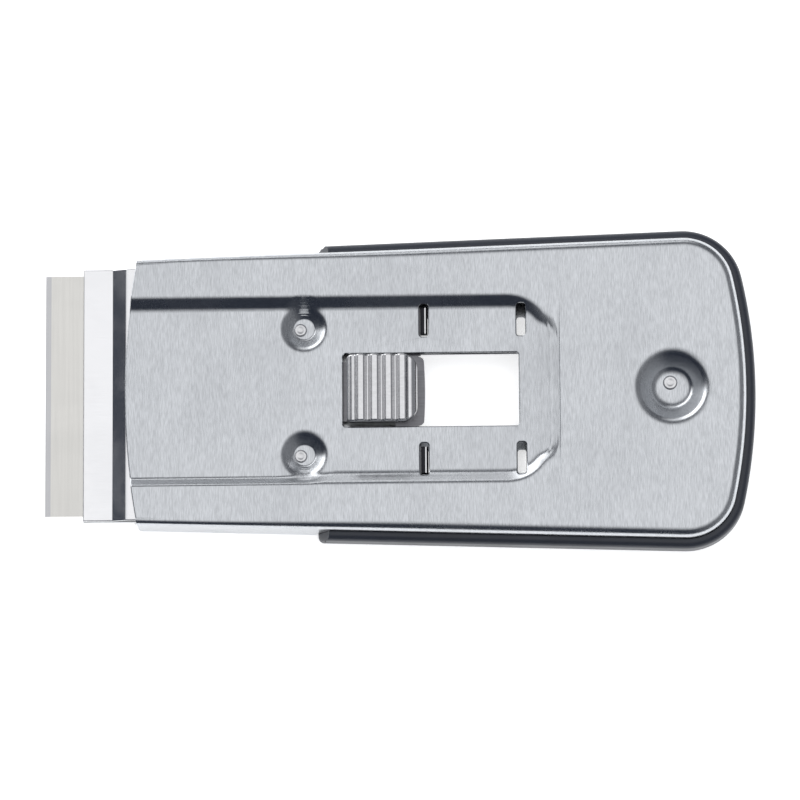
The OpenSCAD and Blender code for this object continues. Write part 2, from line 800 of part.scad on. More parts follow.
// Side view of the thumb slider with its row of ribs between two round shoulders
module slider_section() {
    base = leaf_top;
    meet = crest_radius/rib_radii;
    touch = [rib_pitch/2*meet, crest_centre + (groove_centre - crest_centre)*meet];
    crests = [for (i = [0 : rib_count - 1]) x_groove + (i + 0.5)*rib_pitch];
    flanks = [for (x = crests, side = [-1, 1]) [x + side*touch[0], touch[1]]];
    shoulder = groove_floor - shoulder_radius;
    heel = groove_floor - heel_radius;
    x_heel = x_groove + ribs_length;
    difference() {
        union() {
            polygon(concat([[x_slider, base], [x_slider, shoulder], [x_groove, shoulder],
                [x_groove, touch[1]]], flanks, [[x_heel, touch[1]], [x_heel, heel],
                [x_slider_end, heel], [x_slider_end, base]]));
            for (x = crests) translate([x, crest_centre]) circle(crest_radius);
            translate([x_groove, shoulder]) circle(shoulder_radius);
            translate([x_heel, heel]) circle(heel_radius);
        }
        for (i = [0 : rib_count])
            translate([x_groove + i*rib_pitch, groove_centre]) circle(groove_radius);
    }
}

// Plan of the thumb slider, with its rear corners rounded more than its front ones
module slider_plan() {
    half = slider_width/2;
    translate([x_slider, -half + slider_corner])
        square([slider_length - slider_rear_corner, slider_width - 2*slider_corner]);
    translate([x_slider + slider_corner, -half])
        square([slider_length - slider_corner - slider_rear_corner, slider_width]);
    translate([x_slider + slider_corner, -half + slider_rear_corner])
        square([slider_length - slider_corner, slider_width - 2*slider_rear_corner]);
    for (side = [left, right]) {
        translate([x_slider + slider_corner, side*(half - slider_corner)]) circle(slider_corner);
        translate([x_slider_end - slider_rear_corner, side*(half - slider_rear_corner)])
            circle(slider_rear_corner);
    }
}

// Ribbed thumb slider on the spring, with two studs swaged over under the leaf
module thumb_slider() {
    color("lightgray") {
        intersection() {
            rotate([90, 0, 0]) linear_extrude(slider_width, center = true) slider_section();
            translate([0, 0, leaf_top]) linear_extrude(crest_top) slider_plan();
        }
        for (place = stud_places) translate([x_slider + place*slider_length, 0, 0]) {
            translate([0, 0, leaf_under - stud_head_height])
                cylinder(r = stud_head, h = stud_head_height);
            translate([0, 0, leaf_under - overlap])
                cylinder(r = stud_radius, h = leaf_sheet + 2*overlap);
        }
    }
}

top_cover();
bottom_cover();
grip_rim();
front_rivet(left);  // front_rivet_left
front_rivet(right);  // front_rivet_right
rear_rivet();
blade_carrier();
blade_clamp();
blade();
blade_peg(left);  // blade_peg_left
blade_peg(right);  // blade_peg_right
clamp_rivet(left);  // clamp_rivet_left
clamp_rivet(0);  // clamp_rivet_centre
clamp_rivet(right);  // clamp_rivet_right
lock_spring();
spring_rivet(-1);  // spring_rivet_front
spring_rivet(1);  // spring_rivet_rear
thumb_slider();
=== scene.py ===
"""Dresses a hob scraper: pressed steel housing, moulded grip rim, blade carriage and ribbed slider.

Sizes are in millimetres in the object's own frame, and meshes are written in metres.
"""

import logging
import math
from dataclasses import dataclass, field
from enum import Enum
from typing import Callable, Sequence

import bmesh
import bpy
from mathutils import Matrix, Vector, geometry


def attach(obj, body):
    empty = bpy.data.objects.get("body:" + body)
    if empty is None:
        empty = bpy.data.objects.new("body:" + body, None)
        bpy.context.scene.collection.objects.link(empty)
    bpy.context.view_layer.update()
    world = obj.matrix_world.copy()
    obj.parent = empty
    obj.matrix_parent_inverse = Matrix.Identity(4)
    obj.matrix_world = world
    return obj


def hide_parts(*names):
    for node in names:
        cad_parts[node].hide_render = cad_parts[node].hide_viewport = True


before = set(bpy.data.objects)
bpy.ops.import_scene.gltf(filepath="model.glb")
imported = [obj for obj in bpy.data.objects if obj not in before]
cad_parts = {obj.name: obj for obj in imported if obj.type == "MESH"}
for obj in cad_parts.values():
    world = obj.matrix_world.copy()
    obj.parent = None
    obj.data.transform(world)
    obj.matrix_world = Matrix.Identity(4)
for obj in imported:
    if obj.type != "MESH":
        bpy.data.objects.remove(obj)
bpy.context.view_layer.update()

log = logging.getLogger("hob_scraper")

MM = 0.001
Point = tuple[float, float]
Spot = tuple[float, float, float]
Colour = tuple[float, float, float]

GRAIN_SPAN = (0.3, 0.7)
GRAIN_ROUGHNESS = 0.06
SMUDGE_SHADE = 0.7
SMUDGE_ROUGHNESS = 0.05
WEAR_SHADE = 1.5
FINE_SHARE = 0.82
BROAD_SHARE = 0.18
SLIVER_AREA = 2e-10


class Body(Enum):
    """Bodies of the frame that the pieces ride on."""

    HOUSING = "housing"
    CARRIAGE = "carriage"
    LATCH = "latch"


class Slot(Enum):
    """Material slots of the record."""

    COVER = "cover_steel"
    CLAMP = "clamp_steel"
    CHROME = "slider_chrome"
    RIM = "rim_black"


class NodeSheet:
    """Adds and joins the nodes of one tree."""

    def __init__(self, tree: bpy.types.NodeTree) -> None:
        """Keeps the tree that the nodes go into."""
        self.tree = tree

    def add(self, kind: str, values: dict | None = None, **settings: object) -> bpy.types.Node:
        """Adds a node.

        Args:
            kind: Blender's name for the node.
            values: Input name or index, and a value or the socket that feeds it.
            settings: Properties of the node.

        Returns:
            The new node.
        """
        node = self.tree.nodes.new(kind)
        for name, value in settings.items():
            setattr(node, name, value)
        for name, value in (values or {}).items():
            if isinstance(value, bpy.types.NodeSocket):
                self.tree.links.new(value, node.inputs[name])
            else:
                node.inputs[name].default_value = value
        return node

    def sum(self, operation: str, first: object, second: object = 0.0) -> bpy.types.NodeSocket:
        """Adds a Math node and gives its result."""
        return self.add("ShaderNodeMath", {0: first, 1: second}, operation=operation).outputs[0]

    def ramp(self, value: bpy.types.NodeSocket, low: float, high: float,
             to_low: float = 0.0, to_high: float = 1.0) -> bpy.types.NodeSocket:
        """Adds a smooth, clamped Map Range node and gives its result."""
        node = self.add("ShaderNodeMapRange", {0: value, 1: low, 2: high, 3: to_low, 4: to_high},
                        interpolation_type="SMOOTHSTEP")
        return node.outputs[0]

    def mix(self, share: object, first: object, second: object) -> bpy.types.NodeSocket:
        """Adds a colour Mix node and gives its result."""
        node = self.add("ShaderNodeMix", data_type="RGBA")
        for index, value in ((0, share), (6, first), (7, second)):
            if isinstance(value, bpy.types.NodeSocket):
                self.tree.links.new(value, node.inputs[index])
            else:
                node.inputs[index].default_value = value
        return node.outputs[2]


def rgba(colour: Colour, factor: float = 1.0) -> tuple[float, float, float, float]:
    """Gives a colour with its alpha, made lighter or darker by a factor."""
    return tuple(min(1.0, channel * factor) for channel in colour) + (1.0,)


class EffectGroups:
    """Shader node groups that several finishes share, built once."""

    def __init__(self) -> None:
        """Builds every group."""
        self.grain = self._grain()
        self.smudge = self._smudge()
        self.wear = self._wear()

    @staticmethod
    def _new(name: str, inputs: Sequence[tuple[str, str, float]],
             outputs: Sequence[str]) -> tuple[bpy.types.NodeTree, NodeSheet, dict]:
        """Starts a group.

        Args:
            name: Name of the group.
            inputs: Name, kind and default of each input.
            outputs: Name of each number that the group gives.

        Returns:
            The tree, its node sheet and its input sockets by name.
        """
        tree = bpy.data.node_groups.new(name, "ShaderNodeTree")
        for label, kind, default in inputs:
            socket = tree.interface.new_socket(label, in_out="INPUT", socket_type=kind)
            if kind == "NodeSocketFloat":
                socket.default_value = default
        for label in outputs:
            tree.interface.new_socket(label, in_out="OUTPUT", socket_type="NodeSocketFloat")
        sheet = NodeSheet(tree)
        source = sheet.add("NodeGroupInput")
        return tree, sheet, {socket.name: socket for socket in source.outputs if socket.name}

    def _grain(self) -> bpy.types.NodeTree:
        """Builds the brushed grain: long fine streaks over softer broad ones."""
        tree, sheet, given = self._new("brushed grain", [
            ("Place", "NodeSocketVector", 0), ("Across", "NodeSocketFloat", 5000),
            ("Along", "NodeSocketFloat", 60)], ["Shade", "Height"])
        scale = sheet.add("ShaderNodeCombineXYZ", {
            "X": given["Across"], "Y": given["Along"], "Z": given["Across"]})
        place = sheet.add("ShaderNodeVectorMath", {0: given["Place"], 1: scale.outputs[0]},
                          operation="MULTIPLY")
        fine = sheet.add("ShaderNodeTexNoise", {
            "Vector": place.outputs[0], "Scale": 1.0, "Detail": 3.0, "Roughness": 0.6})
        broad = sheet.add("ShaderNodeTexNoise", {
            "Vector": place.outputs[0], "Scale": 0.17, "Detail": 2.0, "Roughness": 0.5})
        share = sheet.sum("MULTIPLY", fine.outputs[0], FINE_SHARE)
        shade = sheet.sum("ADD", share, sheet.sum("MULTIPLY", broad.outputs[0], BROAD_SHARE))
        sheet.add("NodeGroupOutput", {"Shade": shade, "Height": fine.outputs[0]})
        return tree

    def _smudge(self) -> bpy.types.NodeTree:
        """Builds soft cloudy patches, as handling leaves on bright metal."""
        tree, sheet, given = self._new("smudge", [
            ("Place", "NodeSocketVector", 0), ("Size", "NodeSocketFloat", 90)], ["Mask"])
        cloud = sheet.add("ShaderNodeTexNoise", {
            "Vector": given["Place"], "Scale": given["Size"], "Detail": 3.0,
            "Roughness": 0.55, "Distortion": 0.6})
        sheet.add("NodeGroupOutput", {"Mask": sheet.ramp(cloud.outputs[0], 0.42, 0.68)})
        return tree

    def _wear(self) -> bpy.types.NodeTree:
        """Builds a mask of the rubbed outer edges, broken up by fine noise."""
        tree, sheet, given = self._new("edge wear", [
            ("Place", "NodeSocketVector", 0), ("Amount", "NodeSocketFloat", 1)], ["Mask"])
        edge = sheet.add("ShaderNodeNewGeometry").outputs["Pointiness"]
        speck = sheet.add("ShaderNodeTexNoise", {
            "Vector": given["Place"], "Scale": 900.0, "Detail": 2.0})
        mask = sheet.sum("MULTIPLY", sheet.ramp(edge, 0.53, 0.6),
                         sheet.ramp(speck.outputs[0], 0.3, 0.7))
        sheet.add("NodeGroupOutput", {"Mask": sheet.sum("MULTIPLY", mask, given["Amount"])})
        return tree


@dataclass(frozen=True)
class Finish:
    """A finish of one material, from its colour to its finest grain."""

    name: str
    colour: Colour
    roughness: float
    metallic: float = 1.0
    across: float = 5000.0
    along: float = 60.0
    contrast: float = 0.08
    relief: float = 2.0e-6
    smudge: float = 0.05
    wear: float = 0.25
    edge_from: float | None = None
    edge_colour: Colour = (0.6, 0.6, 0.6)

    def build(self, groups: EffectGroups) -> bpy.types.Material:
        """Builds the material.

        Args:
            groups: The shared shader groups.

        Returns:
            The new material.
        """
        material = bpy.data.materials.new(self.name)
        material.use_nodes = True
        material.node_tree.nodes.clear()
        sheet = NodeSheet(material.node_tree)
        place = sheet.add("ShaderNodeTexCoord").outputs["Object"]
        grain = sheet.add("ShaderNodeGroup", node_tree=groups.grain)
        smudge = sheet.add("ShaderNodeGroup", node_tree=groups.smudge)
        wear = sheet.add("ShaderNodeGroup", node_tree=groups.wear)
        for group in (grain, smudge, wear):
            material.node_tree.links.new(place, group.inputs["Place"])
        grain.inputs["Across"].default_value = self.across
        grain.inputs["Along"].default_value = self.along
        wear.inputs["Amount"].default_value = self.wear
        tone = sheet.mix(sheet.ramp(grain.outputs["Shade"], *GRAIN_SPAN),
                         rgba(self.colour, 1 - self.contrast), rgba(self.colour, 1 + self.contrast))
        tone = sheet.mix(sheet.sum("MULTIPLY", smudge.outputs["Mask"], self.smudge), tone,
                         rgba(self.colour, SMUDGE_SHADE))
        tone = sheet.mix(wear.outputs["Mask"], tone, rgba(self.colour, WEAR_SHADE))
        if self.edge_from is not None:
            x = sheet.add("ShaderNodeSeparateXYZ", {0: place}).outputs[0]
            ground = sheet.sum("LESS_THAN", x, self.edge_from * MM)
            tone = sheet.mix(ground, tone, rgba(self.edge_colour))
        rough = sheet.sum("ADD", self.roughness - GRAIN_ROUGHNESS / 2,
                          sheet.sum("MULTIPLY", grain.outputs["Shade"], GRAIN_ROUGHNESS))
        rough = sheet.sum("ADD", rough, sheet.sum("MULTIPLY", smudge.outputs["Mask"],
                                                  SMUDGE_ROUGHNESS))
        bump = sheet.add("ShaderNodeBump", {
            "Strength": 1.0, "Distance": self.relief, "Height": grain.outputs["Height"]})
        shader = sheet.add("ShaderNodeBsdfPrincipled", {
            "Base Color": tone, "Roughness": rough, "Normal": bump.outputs[0],
            "Metallic": self.metallic})
        sheet.add("ShaderNodeOutputMaterial", {"Surface": shader.outputs[0]})
        return material


COVER_STEEL = Finish("brushed cover steel", (0.515, 0.53, 0.55), 0.24, contrast=0.16,
                     across=7000.0, along=700.0, relief=1.1e-6, smudge=0.0, wear=0.1)
CLAMP_STEEL = Finish("bright clamp steel", (0.74, 0.74, 0.75), 0.15, contrast=0.02,
                     across=400.0, along=9000.0, relief=2.0e-7, smudge=0.02, wear=0.1)
BLADE_STEEL = Finish("ground blade steel", (0.58, 0.57, 0.545), 0.16, contrast=0.03,
                     across=2500.0, along=60.0, relief=2.0e-7, smudge=0.05, wear=0.0,
                     edge_from=-55.8, edge_colour=(0.50, 0.50, 0.51))
# Painted shade: the leaf's dark tone stands partly for a blued spring finish and partly for the
# shade it lies in under the cover.
SHADED_SPRING_STEEL = Finish("spring steel darkened by painted shade", (0.17, 0.17, 0.18), 0.3, contrast=0.12,
                      across=150.0, along=7000.0, relief=1.0e-6)
# Painted shade: near-black steel that paints the lug bodies dark, standing for the shade inside the
# lock slots.
PAINTED_SHADE_STEEL = Finish("painted shade steel", (0.03, 0.03, 0.035), 0.4, contrast=0.15,
                       across=3000.0, along=3000.0, relief=1.0e-6, wear=0.0)
CARRIER_STEEL = Finish("plain carrier steel", (0.52, 0.53, 0.54), 0.3, contrast=0.1,
                       across=4500.0, along=70.0, relief=1.2e-6)
RIVET_STEEL = Finish("plated rivet steel", (0.60, 0.60, 0.61), 0.2, contrast=0.04,
                     across=2500.0, along=2500.0, relief=5.0e-7)
SLIDER_CHROME = Finish("slider chrome", (0.62, 0.62, 0.63), 0.18, contrast=0.05,
                       across=900.0, along=3500.0, relief=4.0e-7, smudge=0.08, wear=0.1)
RIM_BLACK = Finish("black moulded rim", (0.020, 0.024, 0.035), 0.38, metallic=0.0,
                   across=6000.0, along=6000.0, contrast=0.15, relief=3.0e-6, smudge=0.3,
                   wear=0.5)


@dataclass(frozen=True)
class PressedWall:
    """Upper surface of a sheet's pressed wall that rises from a low flat to a high one."""

    run: float
    drop: float
    low: float
    high: float

    @property
    def slope(self) -> float:
        """Slope of the wall between its two bends, in radians."""
        both = self.low + self.high
        side = both - self.drop
        return math.asin(both / math.hypot(self.run, side)) - math.atan2(side, self.run)

    def rise(self, u: float) -> float:
        """Gives the height over the low flat at a distance from the wall's foot."""
        low, high = self.low, self.high
        u = min(max(u, 0.0), self.run)
        u_low, u_high = low * math.sin(self.slope), self.run - high * math.sin(self.slope)
        if u <= u_low:
            return low - math.sqrt(low * low - u * u)
        if u >= u_high:
            return self.drop - high + math.sqrt(high * high - (self.run - u) ** 2)
        return low * (1 - math.cos(self.slope)) + (u - u_low) * math.tan(self.slope)

    def stations(self, steps: int = 7, margin: float = 0.3) -> list[float]:
        """Lists the distances from the foot at which lines of vertices are laid."""
        low, high = self.low, self.high
        angles = [self.slope * i / steps for i in range(steps + 1)]
        places = [-margin] + [low * math.sin(angle) for angle in angles]
        places += [self.run - high * math.sin(angle) for angle in reversed(angles)]
        return places + [self.run + margin]


@dataclass(frozen=True)
class HousingPlan:
    """Plan of the housing: tapering sides, two round corners, bowed front and rear edges."""

    x_front: float = -43.8
    length: float = 99.0
    front_width: float = 42.7
    rear_width: float = 49.1
    corner: float = 8.1
    rear_radius: float = 83.4
    front_radius: float = 116.0

    @property
    def taper(self) -> float:
        """Angle of each side to the centre line."""
        return math.atan((self.rear_width - self.front_width) / 2 / self.length)

    @property
    def along(self) -> Vector:
        """Direction of the left side, rearwards."""
        return Vector((math.cos(self.taper), math.sin(self.taper)))

    @property
    def outward(self) -> Vector:
        """Direction out of the left side."""
        return Vector((-math.sin(self.taper), math.cos(self.taper)))

    @property
    def side_front(self) -> Vector:
        """Point of the left side level with the foremost point of the front edge."""
        return Vector((self.x_front, self.front_width / 2))

    @property
    def rear_centre(self) -> Vector:
        """Centre of the rear edge's arc."""
        return Vector((self.x_front + self.length - self.rear_radius, 0.0))

    @property
    def corner_centre(self) -> Vector:
        """Centre of the left corner's arc."""
        offset = self.side_front - self.corner * self.outward - self.rear_centre
        run = offset.dot(self.along)
        square = offset.dot(offset) - (self.rear_radius - self.corner) ** 2
        reach = math.sqrt(run * run - square) - run
        return self.side_front - self.corner * self.outward + reach * self.along

    def bow(self, y: float) -> float:
        """Gives the x of the front edge at a distance from the centre line."""
        return self.x_front + self.front_radius - math.sqrt(self.front_radius ** 2 - y * y)

    def start(self, offset: float) -> Vector:
        """Gives the point where the front edge meets a line beside the left side."""
        point = self.side_front + offset * self.outward
        for _ in range(12):
            reach = (self.bow(point.y) - point.x) / self.along.x
            point = point + reach * self.along
        return point

    def path(self, offset: float, first: float | None = None, marks: Sequence[float] = (),
             steps: Sequence[int] = (16, 14, 22)) -> list[Vector]:
        """Follows the plan from the left front round the rear to the right front.

        Args:
            offset: Distance outside the plan's outline.
            first: The x at which the side starts, or None for the front edge.
            marks: Further x values on the sides that get a point.
            steps: Number of steps on a side, a corner and half the rear edge.

        Returns:
            The points, as many for every offset.
        """
        centre = self.corner_centre
        tangent = centre + (self.corner + offset) * self.outward
        base = self.side_front + offset * self.outward
        start = self.start(offset) if first is None else base + (
            (first - self.side_front.x) / self.along.x) * self.along
        span = [start.lerp(tangent, i / steps[0]) for i in range(steps[0] + 1)]
        for x in marks:
            span.append(base + ((x - self.side_front.x) / self.along.x) * self.along)
        span.sort(key=lambda p: (p - start).dot(self.along))
        half = list(span)
        offset_angle = math.atan2((centre - self.rear_centre).y, (centre - self.rear_centre).x)
        side_angle = math.pi / 2 + self.taper
        for i in range(1, steps[1] + 1):
            angle = side_angle + (offset_angle - side_angle) * i / steps[1]
            way = Vector((math.cos(angle), math.sin(angle)))
            half.append(centre + (self.corner + offset) * way)
        for i in range(1, steps[2] + 1):
            angle = offset_angle * (1 - i / steps[2])
            half.append(self.rear_centre
                        + (self.rear_radius + offset) * Vector((math.cos(angle), math.sin(angle))))
        return half + [Vector((p.x, -p.y)) for p in reversed(half[:-1])]

    def normals(self, **options: object) -> list[Vector]:
        """Gives the outward direction at each point of the path."""
        inner, outer = self.path(0.0, **options), self.path(1.0, **options)
        return [(b - a).normalized() for a, b in zip(inner, outer)]


def circle(centre: Point, radius: float, steps: int = 48) -> list[Vector]:
    """Gives the points of a circle."""
    return [Vector((centre[0] + radius * math.cos(math.tau * i / steps),
                    centre[1] + radius * math.sin(math.tau * i / steps))) for i in range(steps)]


def round_box(low: Point, high: Point, radius: float, steps: int = 6) -> list[Vector]:
    """Gives the points of a rectangle with round corners."""
    points = []
    corners = ((high[0] - radius, high[1] - radius), (low[0] + radius, high[1] - radius),
               (low[0] + radius, low[1] + radius), (high[0] - radius, low[1] + radius))
    for quarter, (x, y) in enumerate(corners):
        for i in range(steps + 1):
            angle = (quarter + i / steps) * math.pi / 2
            points.append(Vector((x + radius * math.cos(angle), y + radius * math.sin(angle))))
    return points


def fillet(reach: float, radius: float) -> float:
    """Gives how far a rounded edge lies below its flat, at a distance from the edge."""
    if reach >= radius:
        return 0.0
    return radius - math.sqrt(max(radius ** 2 - (radius - max(reach, 0.0)) ** 2, 0.0))


def fillet_stations(radius: float, steps: int = 4) -> list[float]:
    """Lists the distances from a rounded edge at which lines of vertices are laid."""
    return [radius * (1 - math.cos(math.pi / 2 * i / steps)) for i in range(1, steps)] + [radius]


def smooth_step(value: float, start: float, end: float) -> float:
    """Gives 0 before the start, 1 past the end and a soft rise between them."""
    share = min(max((value - start) / (end - start), 0.0), 1.0)
    return share * share * (3 - 2 * share)


def inside(point: Vector, outline: Sequence[Vector]) -> bool:
    """Tells whether a point lies inside an outline."""
    found = False
    for a, b in zip(outline, list(outline[1:]) + [outline[0]]):
        if (a.y > point.y) != (b.y > point.y):
            if point.x < a.x + (point.y - a.y) * (b.x - a.x) / (b.y - a.y):
                found = not found
    return found


class MeshMaker:
    """Turns points and faces in millimetres into finished mesh objects."""

    @staticmethod
    def link(name: str, mesh: bpy.types.Mesh) -> bpy.types.Object:
        """Makes an object of a mesh and links it to the scene."""
        thing = bpy.data.objects.new(name, mesh)
        bpy.context.scene.collection.objects.link(thing)
        return thing

    @staticmethod
    def bake(thing: bpy.types.Object) -> None:
        """Replaces an object's mesh by its evaluated one and removes its modifiers."""
        bpy.context.view_layer.update()
        graph = bpy.context.evaluated_depsgraph_get()
        mesh = bpy.data.meshes.new_from_object(thing.evaluated_get(graph), depsgraph=graph)
        mesh.name = thing.name
        thing.modifiers.clear()
        thing.data = mesh

    def make(self, name: str, points: Sequence[Spot], faces: Sequence[Sequence[int]],
             material: bpy.types.Material, sheet: float = 0.0, sharp: float = 38.0,
             closed: bool = True, weld: float = 0.0002) -> bpy.types.Object:
        """Makes a smooth-shaded piece.

        Args:
            name: Name of the piece.
            points: Vertices in millimetres.
            faces: Loops of vertex numbers.
            material: Finish of the piece.
            sheet: Thickness that a single surface gets below itself.
            sharp: Angle in degrees past which an edge stays sharp.
            closed: Whether the faces close a solid, so that they can be turned outwards.
            weld: Distance within which points become one, in millimetres.

        Returns:
            The finished object, with its place in its mesh.
        """
        work = bmesh.new()
        vertices = [work.verts.new(Vector(p) * MM) for p in points]
        for loop in faces:
            if len(set(loop)) == len(loop):
                try:
                    work.faces.new([vertices[i] for i in loop])
                except ValueError:
                    continue
        bmesh.ops.remove_doubles(work, verts=work.verts, dist=weld * MM)
        bmesh.ops.dissolve_degenerate(work, edges=work.edges, dist=1e-8)
        if closed and not sheet:
            bmesh.ops.recalc_face_normals(work, faces=work.faces)
        mesh = bpy.data.meshes.new(name)
        work.to_mesh(mesh)
        work.free()
        thing = self.link(name, mesh)
        if sheet:
            shell = thing.modifiers.new("sheet", "SOLIDIFY")
            shell.thickness = sheet * MM
            shell.offset = -1.0
            shell.use_even_offset = True
            shell.use_quality_normals = True
            self.bake(thing)
        self.smooth(thing, sharp)
        thing.data.materials.clear()
        thing.data.materials.append(material)
        return thing

    def smooth(self, thing: bpy.types.Object, sharp: float) -> None:
        """Shades an object smooth up to an angle, with its large faces leading."""
        work = bmesh.new()
        work.from_mesh(thing.data)
        limit = math.radians(sharp)
        for face in work.faces:
            face.smooth = True
            face.material_index = 0
        for edge in work.edges:
            sliver = any(face.calc_area() < SLIVER_AREA for face in edge.link_faces)
            edge.smooth = len(edge.link_faces) == 2 and (
                sliver or edge.calc_face_angle(0.0) < limit)
        work.to_mesh(thing.data)
        work.free()
        weigh = thing.modifiers.new("normals", "WEIGHTED_NORMAL")
        weigh.keep_sharp = True
        weigh.weight = 50
        self.bake(thing)

    @staticmethod
    def flat(lines: Sequence[tuple[Sequence[Vector], bool]],
             keep: Callable[[Vector], bool]) -> tuple[list[Vector], list[tuple[int, ...]]]:
        """Covers a plane area with triangles that follow lines.

        Args:
            lines: Runs of points, and whether each closes on itself.
            keep: Tells whether the area round a point is part of the piece.

        Returns:
            The points and the triangles.
        """
        points: list[Vector] = []
        edges: list[tuple[int, int]] = []
        for run, closes in lines:
            first = len(points)
            points += [Vector((p.x, p.y)) for p in run]
            edges += [(first + i, first + i + 1) for i in range(len(run) - 1)]
            if closes:
                edges.append((first + len(run) - 1, first))
        result = geometry.delaunay_2d_cdt(points, edges, [], 0, 1e-5)
        spots, faces = result[0], result[2]
        kept = []
        for face in faces:
            corners = [spots[i] for i in face]
            centre = sum(corners, Vector((0.0, 0.0))) / len(corners)
            if keep(centre):
                following = corners[1:] + corners[:1]
                area = sum(a.x * b.y - b.x * a.y for a, b in zip(corners, following))
                kept.append(tuple(face) if area > 0 else tuple(reversed(face)))
        return list(spots), kept


class RowTree:
    """Geometry Nodes tree that sets a piece out in a row, realizes it and dresses it."""

    def __init__(self, maker: MeshMaker) -> None:
        """Builds the tree, with named inputs for its sizes."""
        self.maker = maker
        tree = bpy.data.node_groups.new("row of pieces", "GeometryNodeTree")
        self.tree = tree
        sockets = (("Piece", "NodeSocketGeometry"), ("Count", "NodeSocketInt"),
                   ("Start", "NodeSocketVector"), ("Step", "NodeSocketVector"),
                   ("Finish", "NodeSocketMaterial"))
        for label, kind in sockets:
            tree.interface.new_socket(label, in_out="INPUT", socket_type=kind)
        tree.interface.new_socket("Row", in_out="OUTPUT", socket_type="NodeSocketGeometry")
        self.keys = {item.name: item.identifier for item in tree.interface.items_tree
                     if item.in_out == "INPUT"}
        sheet = NodeSheet(tree)
        given = sheet.add("NodeGroupInput").outputs
        line = sheet.add("GeometryNodeMeshLine", {
            "Count": given["Count"], "Start Location": given["Start"], "Offset": given["Step"]},
            mode="OFFSET")
        row = sheet.add("GeometryNodeInstanceOnPoints", {
            "Points": line.outputs[0], "Instance": given["Piece"]})
        real = sheet.add("GeometryNodeRealizeInstances", {0: row.outputs[0]})
        weld = sheet.add("GeometryNodeMergeByDistance", {0: real.outputs[0], "Distance": 2e-7})
        dress = sheet.add("GeometryNodeSetMaterial", {
            "Geometry": weld.outputs[0], "Material": given["Finish"]})
        sheet.add("NodeGroupOutput", {0: dress.outputs[0]})

    def lay(self, thing: bpy.types.Object, count: int, start: Spot, step: Spot) -> None:
        """Sets an object's mesh out in a row and bakes the result.

        Args:
            thing: Object that holds one piece, round its own origin.
            count: Number of pieces.
            start: Place of the first one, in millimetres.
            step: Step from one to the next, in millimetres.
        """
        row = thing.modifiers.new("row", "NODES")
        row.node_group = self.tree
        values = {"Count": count, "Start": [c * MM for c in start],
                  "Step": [c * MM for c in step], "Finish": thing.data.materials[0]}
        for label, value in values.items():
            row[self.keys[label]] = value
        self.maker.bake(thing)


def quads(rows: int, width: int, closes: bool = True,
          turned: bool = False) -> list[tuple[int, ...]]:
    """Joins rows of points, numbered one row after the other, with four-sided faces.

    Args:
        rows: Number of rows.
        width: Number of points in a row.
        closes: Whether the last point of a row is joined to its first.
        turned: Whether the faces look the other way.

    Returns:
        The faces.
    """
    found = []
    for k in range(rows - 1):
        for i in range(width if closes else width - 1):
            j = (i + 1) % width
            face = (k * width + i, k * width + j, (k + 1) * width + j, (k + 1) * width + i)
            found.append((face[0], *face[:0:-1]) if turned else face)
    return found


def revolved(profile: Sequence[Point], steps: int = 48) -> tuple[list[Spot], list[tuple[int, ...]]]:
    """Turns a profile of radius and height round the vertical, closed at both ends.

    Args:
        profile: Points from the lower end of the axis to the upper one.
        steps: Number of steps round the axis.

    Returns:
        The points and faces of the solid.
    """
    points = [(r * math.cos(math.tau * i / steps), r * math.sin(math.tau * i / steps), z)
              for r, z in profile for i in range(steps)]
    faces = quads(len(profile), steps)
    faces.append(tuple(reversed(range(steps))))
    faces.append(tuple((len(profile) - 1) * steps + i for i in range(steps)))
    return points, faces


